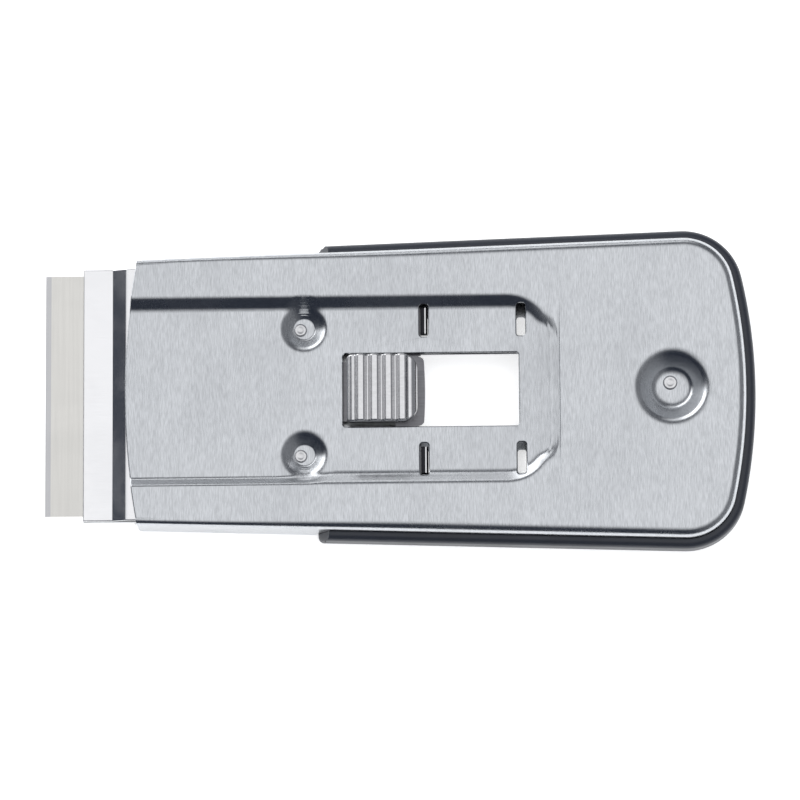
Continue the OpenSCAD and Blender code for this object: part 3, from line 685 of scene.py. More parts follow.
@dataclass
class Housing:
    """Top cover with its channel and dimples, the rim round the rear and three rivets."""

    maker: MeshMaker
    rows: RowTree
    cover: bpy.types.Material
    rim: bpy.types.Material
    rivet: bpy.types.Material
    plan: HousingPlan = field(default_factory=HousingPlan)
    top: float = 7.6
    sheet: float = 0.5
    bends: tuple[float, float] = (0.9, 1.55)
    bend_change: tuple[float, float] = (-35.0, 5.0)
    lift: float = 0.05
    cut_round: float = 0.22
    channel_half: float = 15.5
    channel_end: float = 25.2
    channel_corner: float = 8.0
    channel_wall: PressedWall = PressedWall(2.8, 1.2, 1.8, 1.45)
    channel_fade: tuple[float, float] = (15.0, 27.0)
    steeper_front: float = 0.5
    front_dimple: Point = (-15.2, 10.2)
    front_wall: PressedWall = PressedWall(3.9, 2.7, 0.6, 1.05)
    front_floor: float = 1.5
    rear_dimple: Point = (43.4, 0.0)
    rear_wall: PressedWall = PressedWall(4.5, 2.75, 2.0, 2.2)
    rear_floor: float = 2.05
    blend: float = 0.5
    front_pip: Point = (-0.6, -0.15)
    rear_pip: Point = (-0.3, 0.95)
    pip_holes: Point = (0.85, 0.9)
    seam: float = 3.5
    window: tuple[float, float, float, float] = (-9.0, -5.9, 19.0, 5.9)
    slot_places: tuple[float, float] = (3.9, 19.4)
    slot: tuple[float, float, float] = (8.6, 13.8, 1.42)
    rim_start: float = -13.2
    rim_slant: float = 1.9
    rim_proud: float = 1.5
    rim_height: float = 5.2
    rim_floor: float = 1.2
    rim_lower_round: float = 1.5
    rim_upper_round: float = 1.1
    rim_end_round: float = 1.2
    rim_clear: float = 0.05
    rim_inner: float = -0.65
    rim_lip: Point = (-1.55, 2.6)

    def channel_inset(self, x: float, y: float) -> float:
        """Gives how far inside the channel's upper edge a point lies."""
        corner_x = self.channel_end - self.channel_corner
        corner_y = self.channel_half - self.channel_corner
        if x <= corner_x:
            return self.channel_half - abs(y)
        across = max(abs(y) - corner_y, 0.0)
        turn = math.degrees(math.atan2(x - corner_x, across))
        inset = self.channel_corner - math.hypot(x - corner_x, across)
        return inset + (self.channel_wall.run + 0.3) * smooth_step(turn, 50.0, 95.0)

    def channel_share(self, x: float) -> float:
        """Gives how much of its depth the channel still has, as it runs out to the rear."""
        start, end = self.channel_fade
        share = min(max((x - start) / (end - start), 0.0), 1.0)
        return 1.0 - (0.45 * share ** 2 + 0.55 * share ** 5 * (6 - 5 * share))

    def dimples(self) -> list[tuple[float, float, float, PressedWall]]:
        """Lists the dimples, each as its centre, its floor's radius and its wall."""
        x, y = self.front_dimple
        front = [(x, side * y, self.front_floor, self.front_wall) for side in (1, -1)]
        return front + [(*self.rear_dimple, self.rear_floor, self.rear_wall)]

    def height(self, x: float, y: float) -> float:
        """Gives the height of the cover's upper surface over a point of the plan."""
        wall = self.channel_wall
        steep = 1 + self.steeper_front * (1 - smooth_step(x, -22.0, -8.0)) * (y < 0)
        sink = wall.drop - wall.rise(wall.run - steep * self.channel_inset(x, y))
        sink *= self.channel_share(x)
        for centre_x, centre_y, floor, pressed in self.dimples():
            reach = math.hypot(x - centre_x, y - centre_y) - floor
            if reach < pressed.run:
                sink = self.deeper(sink, pressed.drop - pressed.rise(reach))
        edge = min([x - self.plan.bow(y)] + [self.cut_reach(x, y, cut) for cut in self.cuts()])
        return self.top - sink - fillet(edge, self.cut_round)

    def deeper(self, first: float, second: float) -> float:
        """Gives the deeper of two sinks, blended softly where they are nearly the same."""
        width = min(self.blend, 1.2 * min(first, second)) + 1e-9
        near = max(width - abs(first - second), 0.0) / width
        return max(first, second) + near * near * width / 4

    def bend_share(self, x: float) -> float:
        """Gives how far the cover's fold has widened, from its front radius to its rear one."""
        return smooth_step(x, *self.bend_change)

    def ring(self, share: float, marks: Sequence[float]) -> list[Vector]:
        """Follows the plan at a share of the fold's radius inside the cover's outline."""
        first, last = (self.plan.path(-share * bend, marks=marks) for bend in self.bends)
        return [a.lerp(b, self.bend_share(a.x)) for a, b in zip(first, last)]

    def cuts(self) -> list[tuple[Point, Point, float]]:
        """Lists the window and the slots, each as two corners and a corner radius."""
        x0, y0, x1, y1 = self.window
        found = [((x0, y0), (x1, y1), 0.5)]
        inner, outer, width = self.slot
        for x in self.slot_places:
            for low, high in ((inner, outer), (-outer, -inner)):
                found.append(((x - width / 2, low), (x + width / 2, high), 0.45))
        return found

    @staticmethod
    def cut_reach(x: float, y: float, cut: tuple[Point, Point, float]) -> float:
        """Gives a point's distance from the outline of a cut."""
        low, high, radius = cut
        dx = max(low[0] + radius - x, x - high[0] + radius)
        dy = max(low[1] + radius - y, y - high[1] + radius)
        return math.hypot(max(dx, 0.0), max(dy, 0.0)) + min(max(dx, dy), 0.0) - radius

    def channel_line(self, inset: float) -> list[Vector]:
        """Follows the channel's edge, moved inwards, from the front edge and back to it."""
        radius = self.channel_corner - inset
        corner = Vector((self.channel_end - self.channel_corner,
                         self.channel_half - self.channel_corner))
        y = self.channel_half - inset
        half = [Vector((self.plan.bow(y), y))]
        for i in range(15):
            angle = math.pi / 2 * (1 - i / 14)
            half.append(corner + radius * Vector((math.cos(angle), math.sin(angle))))
        return half + [Vector((p.x, -p.y)) for p in reversed(half)]

    def openings(self) -> list[list[Vector]]:
        """Lists the outlines of the window, the lock slots and the rivet holes."""
        found = [round_box(*cut) for cut in self.cuts()]
        for side in (-1, 1):
            found.append(circle((self.front_dimple[0] + self.front_pip[0],
                                 side * self.front_dimple[1] + self.front_pip[1]),
                                self.pip_holes[0], 24))
        found.append(circle((self.rear_dimple[0] + self.rear_pip[0],
                             self.rear_dimple[1] + self.rear_pip[1]), self.pip_holes[1], 24))
        return found

    def build_cover(self) -> bpy.types.Object:
        """Builds the top cover: the pressed plate, its bend and its side wall."""
        plan = self.plan
        marks = (self.rim_start - 0.4, self.rim_start - 0.1)
        wall = self.channel_wall
        insets = [wall.run - u for u in wall.stations()]
        insets += [inset / (1 + self.steeper_front) for inset in insets]
        rings = [self.ring(share, marks) for share in (1.0, 1.15, 1.6)]
        lines: list[tuple[Sequence[Vector], bool]] = [(ring, False) for ring in rings]
        lines += [(self.channel_line(inset), False) for inset in insets]
        rounds = fillet_stations(self.cut_round)
        for low, high, radius in self.cuts():
            lines += [(round_box((low[0] - reach, low[1] - reach),
                                 (high[0] + reach, high[1] + reach), radius + reach), True)
                      for reach in rounds]
        start, end = self.channel_fade
        for i in range(30):
            x = start + (end - start) * (i + 0.5) / 30
            lines.append(([Vector((x, -14.6)), Vector((x, 14.6))], False))
        for x, y, floor, pressed in self.dimples():
            reaches = pressed.stations() + [pressed.run * i / 20 for i in range(4, 18)]
            lines += [(circle((x, y), floor + u, 64), True) for u in reaches]
        holes = self.openings()
        lines += [(hole, True) for hole in holes]
        limit = rings[0][0].y
        ys = {ring[0].y for ring in rings} | {self.channel_half - inset for inset in insets}
        ys |= {limit * i / 16 for i in range(16)}
        ys = sorted({round(y, 6) for y in ys if y <= limit + 1e-6} | {0.0})
        ys = [-y for y in reversed(ys[1:])] + ys
        bow = [Vector((plan.bow(y), y)) for y in ys]
        bow[0], bow[-1] = rings[0][-1], rings[0][0]
        lines.append((bow, False))
        lines += [([p + Vector((reach, 0.0)) for p in bow[1:-1]], False) for reach in rounds]
        outline = list(rings[0]) + bow[1:-1]

        def keep(spot: Vector) -> bool:
            """Tells whether a triangle's centre is on the plate."""
            return inside(spot, outline) and not any(inside(spot, hole) for hole in holes)

        flat, faces = self.maker.flat(lines, keep)
        points: list[Spot] = [(p.x, p.y, self.height(p.x, p.y)) for p in flat]
        loops: list[Sequence[int]] = list(faces)
        steps = 10
        rows = [(1 - math.sin(math.pi / 2 * i / steps), 1 - math.cos(math.pi / 2 * i / steps), 0.0)
                for i in range(steps + 1)]
        rows += [(0.0, 1.0, 0.25), (0.0, 1.0, 2.6), (0.0, 1.0, None)]
        first = len(points)
        count = len(rings[0])
        for share, fall, below in rows:
            for p in self.ring(share, marks):
                bend = self.bends[0] + self.bend_share(p.x) * (self.bends[1] - self.bends[0])
                if below is None:
                    foot = self.lift if p.x < self.rim_start - 0.25 else self.rim_floor + 0.05
                    points.append((p.x, p.y, foot))
                else:
                    points.append((p.x, p.y, self.top - bend * fall - below))
        loops += [tuple(first + i for i in face) for face in quads(len(rows), count, closes=False)]
        return self.maker.make("cover_top_sheet", points, loops, self.cover, sheet=self.sheet,
                               weld=0.006)

    def rim_section(self, steps: int = 8) -> list[Point]:
        """Gives the rim's section as offset from the cover's wall and height."""
        def arc(x: float, z: float, r: float, start: float) -> list[Point]:
            """Gives a quarter circle from an angle, anticlockwise."""
            return [(x + r * math.cos(math.radians(start + 90 * i / steps)),
                     z + r * math.sin(math.radians(start + 90 * i / steps)))
                    for i in range(steps + 1)]

        proud, high = self.rim_proud, self.rim_height
        lower, upper, clear = self.rim_lower_round, self.rim_upper_round, self.rim_clear
        return ([(self.rim_lip[0], 0.0), (-0.6, 0.0)] + arc(proud - lower, lower, lower, -90)
                + arc(proud - upper, high - upper, upper, 0)
                + [(clear, high), (clear, 3.0), (clear, self.rim_floor),
                   (self.rim_inner, self.rim_floor), (self.rim_inner, self.rim_lip[1]),
                   self.rim_lip])

    def rim_begin(self, offset: float, z: float) -> float:
        """Gives how far behind the rim's end a point of its section starts."""
        share = (z - self.rim_floor) / (self.rim_height - self.rim_floor)
        slant = self.rim_slant * min(max(share, 0.0), 1.0)
        end = self.rim_end_round
        reach = min(max(offset - (self.rim_proud - end), 0.0), end)
        return max(slant, end - math.sqrt(max(end * end - reach * reach, 0.0)))

    def build_rim(self) -> bpy.types.Object:
        """Builds the rim: its section carried round the rear, with slanting round ends."""
        section = self.rim_section()
        plan = self.plan
        options = {"first": self.rim_start + 3.4, "steps": (14, 18, 26)}
        centre = plan.path(0.0, **options)
        outward = plan.normals(**options)
        points: list[Spot] = []
        width = len(section)
        for p, n in zip(centre, outward):
            points += [(p.x + n.x * o, p.y + n.y * o, z) for o, z in section]
        loops: list[Sequence[int]] = list(quads(len(centre), width))
        outline = [Vector(p) for p in section]
        grid = [(outline, True)]
        for i in range(1, 9):
            z = self.rim_height * i / 9
            grid.append(([Vector((0.06, z)), Vector((self.rim_proud, z))], False))
        for i in range(1, 7):
            o = self.rim_proud - self.rim_end_round + self.rim_end_round * i / 7
            grid.append(([Vector((o, 0.0)), Vector((o, self.rim_height))], False))
        cap, faces = self.maker.flat(grid, lambda spot: inside(spot, outline))
        for side, anchor in ((1, 0), (-1, (len(centre) - 1) * width)):
            first = len(points)
            base = plan.side_front + (self.rim_start - plan.x_front) / plan.along.x * plan.along
            for spot in cap:
                p = base + self.rim_begin(spot.x, spot.y) * plan.along + spot.x * plan.outward
                points.append((p.x, side * p.y, spot.y))
            loops += [tuple(first + i for i in face) for face in faces]
            begin = [min(range(len(cap)), key=lambda i: (cap[i] - spot).length)
                     for spot in outline]
            ring = [first + i for i in begin]
            for i in range(width):
                j = (i + 1) % width
                loops.append((anchor + i, anchor + j, ring[j], ring[i]))
        return self.maker.make("moulded_grip_rim", points, loops, self.rim, sharp=50.0)

    def rivet_profile(self, shank: float, head: float, high: float) -> list[Point]:
        """Gives the profile of a rivet with a rounded, dished head above a dimple's floor."""
        low = self.seam - self.sheet
        profile = [(0.02, low - 0.4), (head - 0.1, low - 0.4), (head, low - 0.3), (head, low),
                   (shank, low), (shank, high), (head, high)]
        for i in range(6):
            angle = math.pi / 2 * i / 5
            profile.append((head - 0.28 + 0.28 * math.cos(angle),
                            high + 0.05 + 0.28 * math.sin(angle)))
        profile += [(head * 0.62, high + 0.33), (head * 0.52, high + 0.315),
                    (head * 0.4, high + 0.28), (head * 0.25, high + 0.26), (0.02, high + 0.26)]
        return profile

    def build_rivets(self) -> list[bpy.types.Object]:
        """Builds the two front rivets as a row, and the rear one."""
        floors = [self.height(*self.front_dimple), self.height(*self.rear_dimple)]
        front = self.maker.make("front_dimple_rivets",
                                *revolved(self.rivet_profile(0.8, 1.05, floors[0])), self.rivet)
        x, y = self.front_dimple
        self.rows.lay(front, 2, (x + self.front_pip[0], -y + self.front_pip[1], 0.0),
                      (0.0, 2 * y, 0.0))
        rear = self.maker.make("rear_dimple_rivet",
                               *revolved(self.rivet_profile(0.85, 1.15, floors[1])), self.rivet)
        self.rows.lay(rear, 1, (self.rear_dimple[0] + self.rear_pip[0], self.rear_pip[1], 0.0),
                      (1.0, 0.0, 0.0))
        return [front, rear]

    def build(self) -> None:
        """Builds the housing's pieces and puts them on their body."""
        cover, rim = self.build_cover(), self.build_rim()
        rivets = self.build_rivets()
        for piece, slot, nodes in (
                (cover, Slot.COVER, ("top_cover",)), (rim, Slot.RIM, ("grip_rim",)),
                (rivets[0], Slot.COVER, ("front_rivet_left", "front_rivet_right")),
                (rivets[1], Slot.COVER, ("rear_rivet",))):
            place(piece, Body.HOUSING, slot, nodes)


@dataclass
class Carriage:
    """Arched clamp over the blade; the carrier, blade, pegs and rivets keep their node meshes and
    are dressed in dress_nodes.
    """

    maker: MeshMaker
    clamp: bpy.types.Material
    half: float = 20.4
    x_clamp: float = -50.6
    x_step: float = -45.95
    x_raised_end: float = -36.8
    x_foot: float = -34.5
    x_foot_end: float = -28.5
    strip_top: float = 4.4
    foot_top: float = 4.1
    sheet: float = 0.7
    step: PressedWall = PressedWall(2.75, 0.9, 0.25, 1.9)
    edge_round: float = 0.2
    fall: PressedWall = PressedWall(2.3, 1.2, 0.25, 0.95)
    relief: Point = (10.3, 4.3)
    rivet_x: float = -31.5
    rivet_y: float = 17.4

    def height(self, x: float, y: float) -> float:
        """Gives the height of the clamp's upper surface, lower at its rounded edges."""
        lost = fillet(min(x - self.x_clamp, self.half - abs(y)), self.edge_round)
        if x < (self.x_raised_end + self.x_step) / 2:
            return self.strip_top + self.step.rise(x - self.x_step) - lost
        return self.foot_top + self.fall.rise(self.x_foot - x) - lost

    def build(self) -> None:
        """Builds the clamp and puts it on its body."""
        front, rear, half = self.x_clamp, self.x_foot_end, self.half
        outline = round_box((front, -half), (rear, half), 0.05, 1)
        lines: list[tuple[Sequence[Vector], bool]] = [(outline, True)]
        xs = [self.x_step + u for u in self.step.stations(8, 0.25)]
        xs += [self.x_foot - u for u in self.fall.stations(5, 0.25)]
        rounds = fillet_stations(self.edge_round)
        xs += [front + reach for reach in rounds]
        lines += [([Vector((front, y)), Vector((rear, y))], False)
                  for reach in rounds for y in (reach - half, half - reach)]
        lines += [([Vector((x, -half)), Vector((x, half))], False) for x in xs]
        y, reach = self.relief
        holes = [round_box((self.x_raised_end - 0.5, side * y - reach),
                           (self.x_raised_end + 12, side * y + reach), 1.0) for side in (-1, 1)]
        holes += [circle((self.rivet_x, side * self.rivet_y), 0.95, 24) for side in (-1, 0, 1)]
        lines += [(hole, True) for hole in holes]
        flat, faces = self.maker.flat(lines, lambda spot: inside(spot, outline)
                                      and not any(inside(spot, hole) for hole in holes))
        points = [(p.x, p.y, self.height(p.x, p.y)) for p in flat]
        piece = self.maker.make("arched_clamp", points, faces, self.clamp, sheet=self.sheet)
        place(piece, Body.CARRIAGE, Slot.CLAMP, ("blade_clamp",))


@dataclass
class LockSpring:
    """Leaf spring with a ramp, two wings and a folded lug at each wing's end; the lugs are painted
    dark as shade, with a painted highlight along their tops.
    """

    maker: MeshMaker
    rows: RowTree
    steel: bpy.types.Material
    painted_shade: bpy.types.Material
    bright: bpy.types.Material
    root: float = -21.3
    ramp_start: float = -13.2
    ramp: PressedWall = PressedWall(3.2, 1.06, 0.35, 0.85)
    root_top: float = 4.04
    sheet: float = 0.5
    half: float = 4.8
    wing_start: float = -0.7
    wing_half: float = 13.45
    end: float = 4.3
    lug: tuple[float, float, float, float] = (3.4, 4.5, 9.05, 13.45)
    lug_top: float = 5.85
    lug_foot: float = 4.6
    lug_end: Point = (0.12, 0.14)
    holes: tuple[tuple[float, float], ...] = (
        (-19.5, 1.1), (-15.9, 1.1), (-5.236, 1.25), (-0.264, 1.25))

    def outline(self) -> list[Vector]:
        """Gives the spring's plan: root, leaf, wings, and a bowed tongue between the lugs."""
        half, tongue = self.half, 5.55
        side = [Vector((self.root, half)), Vector((self.wing_start, half)),
                Vector((self.wing_start, self.wing_half)), Vector((self.lug[0], self.wing_half)),
                Vector((self.lug[0], tongue + 0.15)), Vector((3.0, tongue + 0.15))]
        side += [Vector((3.0 + 0.9 * math.sin(math.pi / 2 * i / 6),
                         tongue - 0.8 * (1 - math.cos(math.pi / 2 * i / 6)))) for i in range(7)]
        side += [Vector((4.05 - 0.15 * (y / 4.75) ** 2, y)) for y in (4.0, 3.0, 2.0, 1.0)]
        other = [Vector((p.x, -p.y)) for p in reversed(side)]
        return side + [Vector((4.05, 0.0))] + other

    def build(self) -> None:
        """Builds the spring and its lugs and puts them on their body."""
        outline = self.outline()
        cuts = [circle((x, 0.0), r, 24) for x, r in self.holes]
        lines: list[tuple[Sequence[Vector], bool]] = [(outline, True)]
        lines += [(cut, True) for cut in cuts]
        for u in self.ramp.stations(6, 0.2):
            x = self.ramp_start + u
            lines.append(([Vector((x, -self.half)), Vector((x, self.half))], False))
        flat, faces = self.maker.flat(lines, lambda spot: inside(spot, outline)
                                      and not any(inside(spot, cut) for cut in cuts))
        points = [(p.x, p.y, self.root_top + self.ramp.rise(p.x - self.ramp_start)) for p in flat]
        # The leaf takes the darkened spring steel, whose tone is partly painted shade.
        leaf = self.maker.make("lock_spring_leaf", points, faces, self.steel, sheet=self.sheet)
        low, high, inner, outer = self.lug
        top, foot = self.lug_top, self.lug_foot
        profile = [(low, foot), (low, top - 0.35), (low + 0.1, top - 0.25), (4.0, top - 0.25),
                   (4.0, top - 0.02), (4.03, top), (4.24, top), (4.27, top - 0.03),
                   (4.28, top - 0.3), (high, top - 0.45), (high, foot)]
        width = len(profile)
        spans = [inner, inner + self.lug_end[0], outer - self.lug_end[0], outer]
        middle = (inner + outer) / 2
        points = []
        for k, y in enumerate(spans):
            drop = self.lug_end[1] if k in (0, 3) else 0.0
            points += [(x, y - middle, max(z - drop, foot)) for x, z in profile]
        loops: list[Sequence[int]] = [tuple(range(width)), tuple(3 * width + i
                                      for i in reversed(range(width)))]
        loops += quads(len(spans), width, turned=True)
        # The lug bodies take the near-black steel as painted shade for the slots' dark insides.
        lugs = self.maker.make("folded_lugs", points, loops, self.painted_shade, sharp=30.0)
        self.rows.lay(lugs, 2, (0.0, -middle, 0.0), (0.0, 2 * middle, 0.0))
        # Painted highlight: the lugs' thin upper faces take the bright rivet steel, so a light line
        # shows on top of the lugs painted dark as shade.
        lugs.data.materials.append(self.bright)
        for face in lugs.data.polygons:
            if face.center.z > (top - 0.1) * MM:
                face.material_index = 1
        place(leaf, Body.LATCH, Slot.CLAMP, ("lock_spring",))
        place(lugs, Body.LATCH, Slot.CLAMP, ())


@dataclass
class ThumbSlider:
    """Chromed thumb slider: a row of ribs between two round shoulders, on two studs."""

    maker: MeshMaker
    rows: RowTree
    chrome: bpy.types.Material
    x_start: float = -8.4
    length: float = 11.3
    half: float = 5.4
    base: float = 5.1
    crest_top: float = 9.45
    crest_half: float = 0.25
    flank: PressedWall = PressedWall(0.85, 0.61, 0.35, 0.5)
    pitch: float = 2.2
    ribs: int = 4
    shoulder: float = 1.2
    front_corner: float = 0.7
    rear_corner: float = 2.4
    edge: float = 0.3

    @property
    def groove_floor(self) -> float:
        """Height of the lowest line of a groove."""
        return self.crest_top - self.flank.drop

    def rib_height(self, x: float) -> float:
        """Gives the height of a rib's surface at a distance from its crest."""
        return self.groove_floor + self.flank.rise(self.pitch / 2 - abs(x))

    def column(self, x: float, z: float) -> list[Spot]:
        """Gives one section across the slider, with its two upper edges rounded."""
        points = [(x, -self.half, self.base), (x, -self.half, (self.base + z) / 2)]
        for side in (-1, 1):
            arc = []
            for i in range(6):
                angle = math.pi / 2 * i / 5
                arc.append((x, side * (self.half - self.edge + self.edge * math.cos(angle)),
                            z - self.edge + self.edge * math.sin(angle)))
            points += arc if side < 0 else arc[::-1]
        return points + [(x, self.half, (self.base + z) / 2), (x, self.half, self.base)]

    def loft(self, stations: Sequence[Point], caps: tuple[bool, bool]) -> tuple[
            list[Spot], list[Sequence[int]]]:
        """Joins sections along the slider.

        Args:
            stations: The x and the height of each section.
            caps: Whether the first and the last section are closed.

        Returns:
            Points and faces of the surface.
        """
        points: list[Spot] = []
        for x, z in stations:
            points += self.column(x, z)
        width = len(points) // len(stations)
        loops: list[Sequence[int]] = list(quads(len(stations), width, turned=True))
        if caps[0]:
            loops.append(tuple(range(width)))
        if caps[1]:
            loops.append(tuple((len(stations) - 1) * width + i for i in reversed(range(width))))
        return points, loops

    def half_width(self, x: float) -> float:
        """Gives half the slider's width at a place along it, narrower at its corners."""
        for reach, corner in ((x - self.x_start, self.front_corner),
                              (self.x_start + self.length - x, self.rear_corner)):
            if reach < corner:
                return self.half - corner + math.sqrt(max(corner ** 2 - (corner - reach) ** 2, 0.0))
        return self.half

    def build(self) -> None:
        """Builds the slider and its studs and puts them on their body."""
        reach = self.pitch / 2
        half = [reach - u for u in self.flank.stations(6, 0.0)[1:-1]]
        xs = sorted({round(x, 6) for x in half + [-x for x in half] + [0.0]})
        tile = self.loft([(x, self.rib_height(x)) for x in xs], (False, False))
        ribs = self.maker.make("slider_ribs", *tile, self.chrome, closed=False)
        x_groove = self.x_start + self.shoulder
        self.rows.lay(ribs, self.ribs, (x_groove + reach, 0.0, 0.0), (self.pitch, 0.0, 0.0))
        x_heel = x_groove + self.ribs * self.pitch
        heel = self.x_start + self.length - x_heel
        floor = self.groove_floor
        front = [(x_groove - self.shoulder * math.cos(math.pi / 2 * i / 12),
                  floor - self.shoulder * (1 - math.sin(math.pi / 2 * i / 12))) for i in range(13)]
        rear = [(x_heel + heel * math.sin(math.pi / 2 * i / 12),
                 floor - heel * (1 - math.cos(math.pi / 2 * i / 12))) for i in range(13)]
        work = bmesh.new()
        work.from_mesh(ribs.data)
        for stations, caps in ((front, (True, False)), (rear, (False, True))):
            points, loops = self.loft(stations, caps)
            vertices = [work.verts.new(Vector(p) * MM) for p in points]
            for loop in loops:
                work.faces.new([vertices[i] for i in loop])
        bmesh.ops.remove_doubles(work, verts=work.verts, dist=2e-7)
        for vertex in work.verts:
            vertex.co.y *= self.half_width(vertex.co.x / MM) / self.half
        bmesh.ops.recalc_face_normals(work, faces=work.faces)
        work.to_mesh(ribs.data)
        work.free()
        self.maker.smooth(ribs, 50.0)
        studs = self.maker.make("slider_studs", *revolved([
            (0.02, 4.2), (1.65, 4.2), (1.8, 4.32), (1.8, 4.6), (1.2, 4.6), (1.2, 5.1),
            (0.02, 5.1)], 36), self.chrome)
        self.rows.lay(studs, 2, (self.x_start + 0.28 * self.length, 0.0, 0.0),
                      (0.44 * self.length, 0.0, 0.0))
        place(ribs, Body.LATCH, Slot.CHROME, ("thumb_slider",))
        place(studs, Body.LATCH, Slot.CHROME, ())


def place(piece: bpy.types.Object, body: Body, slot: Slot, nodes: Sequence[str]) -> None:
    """Puts a piece on its body and hides the nodes that it stands for.

    Args:
        piece: The finished piece.
        body: Body that it rides on.
        slot: Not used.
        nodes: Nodes that it replaces.
    """
    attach(piece, body.value)
    if nodes:
        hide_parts(*nodes)
    triangles = sum(len(face.vertices) - 2 for face in piece.data.polygons)
    log.info("%s: %d triangles, on %s", piece.name, triangles, body.value)


def dress_nodes(finishes: dict[str, bpy.types.Material]) -> None:
    """Gives the nodes that keep their own mesh their finish."""
    for name, material in finishes.items():
        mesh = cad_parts[name].data
        mesh.materials.clear()
        mesh.materials.append(material)
        log.info("%s: %s", name, material.name)


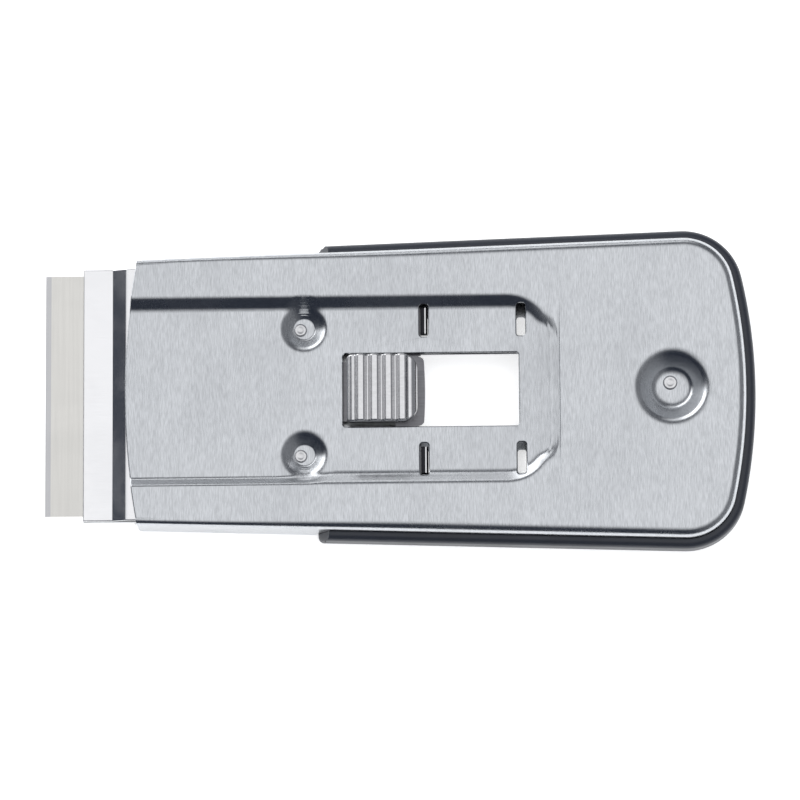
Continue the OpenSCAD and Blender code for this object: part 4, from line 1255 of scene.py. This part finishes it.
@dataclass
class Studio:
    """Floor, backdrop, lamps and camera."""

    aim: Spot = (0.1, -1.8, 7.2)
    distance: float = 895.0
    tilt: float = 10.0
    sideways: float = 1.5
    roll: float = -0.6
    scale: float = 6.29
    frame_pixels: int = 800
    dusk: Colour = (0.035, 0.042, 0.060)
    even_light: Colour = (0.85, 0.87, 0.9)
    floor_half: float = 3000.0
    floor_z: float = -0.02
    floor_shade: float = 0.9
    floor_glow: float = 0.62
    box_left: Point = (-0.9, -0.53)
    box_right: Point = (0.9, 0.25)
    box_near: Point = (-0.85, 0.15)
    box_far: Point = (0.85, 0.2)
    box_glow: float = 1.08
    window_slant: float = 0.22
    window_sill: Point = (0.12, 0.22)
    window_head: Point = (0.62, 0.45)
    window_right: Point = (0.34, 0.05)
    window_near: Point = (0.1, 0.45)
    window_gain: tuple[float, ...] = (-0.05, -0.4, 1.0, 3.0)
    right_wall: tuple[float, ...] = (0.1, 0.9, 0.0, 0.24)
    far_wall: tuple[float, ...] = (0.3, 0.9, 0.0, 0.1)

    def panel(self, name: str, centre: Spot, size: Point, radiance: float,
              colour: Colour = (1.0, 1.0, 1.0)) -> None:
        """Hangs a soft box that faces the object.

        Args:
            name: Name of the lamp.
            centre: Its place in metres.
            size: Its width and height in metres.
            radiance: Brightness of its face, where 1 renders white.
            colour: Colour of its light.
        """
        lamp = bpy.data.lights.new(name, "AREA")
        lamp.shape = "RECTANGLE"
        lamp.size, lamp.size_y = size
        lamp.energy = radiance * math.pi * size[0] * size[1]
        lamp.color = colour
        thing = bpy.data.objects.new(name, lamp)
        bpy.context.scene.collection.objects.link(thing)
        thing.location = centre
        thing.rotation_euler = (-Vector(centre)).to_track_quat("-Z", "Y").to_euler()
        thing.visible_glossy = False

    def white_for_view(self, sheet: NodeSheet) -> bpy.types.NodeSocket:
        """Gives 1 for rays that see the backdrop, direct or through gloss and glass."""
        path = sheet.add("ShaderNodeLightPath").outputs
        seen = sheet.sum("MAXIMUM", path["Is Camera Ray"], path["Is Transmission Ray"])
        return sheet.sum("MAXIMUM", seen, path["Is Glossy Ray"])

    def build_floor(self) -> None:
        """Lays the pale floor, which is white to the camera and in the metal."""
        half = self.floor_half
        mesh = bpy.data.meshes.new("studio_floor")
        mesh.from_pydata([Vector((x, y, self.floor_z)) * MM for x, y in (
            (-half, -half), (half, -half), (half, half), (-half, half))], [], [range(4)])
        floor = MeshMaker.link("studio_floor", mesh)
        material = bpy.data.materials.new("pale floor")
        material.use_nodes = True
        material.node_tree.nodes.clear()
        sheet = NodeSheet(material.node_tree)
        matt = sheet.add("ShaderNodeBsdfDiffuse", {"Color": (*(self.floor_shade,) * 3, 1.0)})
        glow = sheet.add("ShaderNodeEmission", {"Color": (1.0, 1.0, 1.0, 1.0),
                                                "Strength": self.floor_glow})
        both = sheet.add("ShaderNodeAddShader", {0: matt.outputs[0], 1: glow.outputs[0]})
        mixed = sheet.add("ShaderNodeMixShader", {
            0: self.white_for_view(sheet), 1: matt.outputs[0], 2: both.outputs[0]})
        sheet.add("ShaderNodeOutputMaterial", {"Surface": mixed.outputs[0]})
        floor.data.materials.append(material)

    @staticmethod
    def product(sheet: NodeSheet, *factors: object) -> bpy.types.NodeSocket:
        """Multiplies sockets and numbers."""
        result = factors[0]
        for factor in factors[1:]:
            result = sheet.sum("MULTIPLY", result, factor)
        return result

    def build_world(self) -> None:
        """Makes the surroundings: the same soft studio to the camera and to the metal.

        It has a wide box overhead, a low bright window behind on the left and dim
        grey walls behind and on the right. In front and on the left the room stays dark.
        """
        world = bpy.data.worlds.new("studio")
        bpy.context.scene.world = world
        world.use_nodes = True
        world.node_tree.nodes.clear()
        sheet = NodeSheet(world.node_tree)
        way = sheet.add("ShaderNodeTexCoord").outputs["Generated"]
        x, y, z = sheet.add("ShaderNodeSeparateXYZ", {0: way}).outputs
        flat = sheet.sum("SQRT", sheet.sum("SUBTRACT", 1.0001, sheet.sum("MULTIPLY", z, z)))
        ax, ay = sheet.sum("DIVIDE", x, flat), sheet.sum("DIVIDE", y, flat)
        up = sheet.sum("MAXIMUM", z, 0.02)
        u, v = sheet.sum("DIVIDE", x, up), sheet.sum("DIVIDE", y, up)
        box = self.product(sheet, sheet.ramp(u, *self.box_left), sheet.ramp(u, *self.box_right),
                           sheet.ramp(v, *self.box_near), sheet.ramp(v, *self.box_far),
                           self.box_glow)
        edge = sheet.sum("SUBTRACT", z, sheet.sum("MULTIPLY", ax, self.window_slant))
        low = self.product(sheet, sheet.ramp(edge, *self.window_sill),
                           sheet.ramp(z, *self.window_head), sheet.ramp(ax, *self.window_right),
                           sheet.ramp(ay, *self.window_near), sheet.ramp(ax, *self.window_gain))
        side = sheet.sum("MAXIMUM", sheet.ramp(ax, *self.right_wall),
                         sheet.ramp(ay, *self.far_wall))
        lit = sheet.sum("ADD", sheet.sum("ADD", box, low), side)
        glow = sheet.add("ShaderNodeMix", data_type="RGBA", blend_type="ADD").inputs
        glow[0].default_value = 1.0
        glow[6].default_value = rgba(self.dusk)
        sheet.tree.links.new(lit, glow[7])
        glow = glow[0].node.outputs[2]
        path = sheet.add("ShaderNodeLightPath").outputs
        seen = sheet.mix(path["Is Diffuse Ray"], glow, rgba(self.even_light))
        back = sheet.add("ShaderNodeBackground", {"Color": seen, "Strength": 1.0})
        sheet.add("ShaderNodeOutputWorld", {"Surface": back.outputs[0]})

    def build_camera(self) -> None:
        """Sets the camera up at the photograph's viewing angle and scale."""
        lens = bpy.data.cameras.new("camera")
        lens.sensor_width = 36.0
        lens.lens = self.scale * self.distance * lens.sensor_width / self.frame_pixels
        lens.clip_start, lens.clip_end = 0.05, 20.0
        camera = bpy.data.objects.new("camera", lens)
        bpy.context.scene.collection.objects.link(camera)
        back = Vector((math.tan(math.radians(self.sideways)),
                       -math.tan(math.radians(self.tilt)), 1.0)).normalized()
        camera.location = Vector(self.aim) * MM + back * self.distance * MM
        right = (Vector((1.0, 0.0, 0.0)) - back.x * back).normalized()
        turn = Matrix((right, back.cross(right), back)).transposed().to_4x4()
        turn = turn @ Matrix.Rotation(math.radians(self.roll), 4, "Z")
        camera.rotation_euler = turn.to_euler()
        bpy.context.scene.camera = camera

    def build(self) -> None:
        """Builds the whole studio."""
        bpy.context.scene.view_settings.view_transform = "Standard"
        self.build_camera()
        self.build_world()
        self.build_floor()
        self.panel("overhead_box", (-0.01, 0.285, 1.3), (1.22, 0.48), 1.25)
        self.panel("low_far_box", (-0.715, 0.949, 0.386), (1.0, 0.78), 1.0, (1.0, 0.99, 0.97))


def main() -> None:
    """Builds the studio and every sub-assembly in order."""
    logging.basicConfig(level=logging.INFO, format="%(name)s: %(message)s")
    Studio().build()
    groups = EffectGroups()
    cover, clamp, blade, spring, painted_shade, carrier, rivet, chrome, rim = (
        finish.build(groups) for finish in (
            COVER_STEEL, CLAMP_STEEL, BLADE_STEEL, SHADED_SPRING_STEEL, PAINTED_SHADE_STEEL, CARRIER_STEEL,
            RIVET_STEEL, SLIDER_CHROME, RIM_BLACK))
    maker = MeshMaker()
    rows = RowTree(maker)
    Housing(maker, rows, cover, rim, rivet).build()
    Carriage(maker, clamp).build()
    # The spring gets the darkened spring steel and the painted shade steel, with rivet steel as the
    # painted highlight on its lugs' tops.
    LockSpring(maker, rows, spring, painted_shade, rivet).build()
    ThumbSlider(maker, rows, chrome).build()
    dress_nodes({
        "bottom_cover": cover, "blade_carrier": carrier, "blade": blade,
        **{name: rivet for name in ("blade_peg_left", "blade_peg_right", "clamp_rivet_left",
                                    "clamp_rivet_centre", "clamp_rivet_right",
                                    "spring_rivet_front", "spring_rivet_rear")}})


if __name__ == "__main__":
    main()
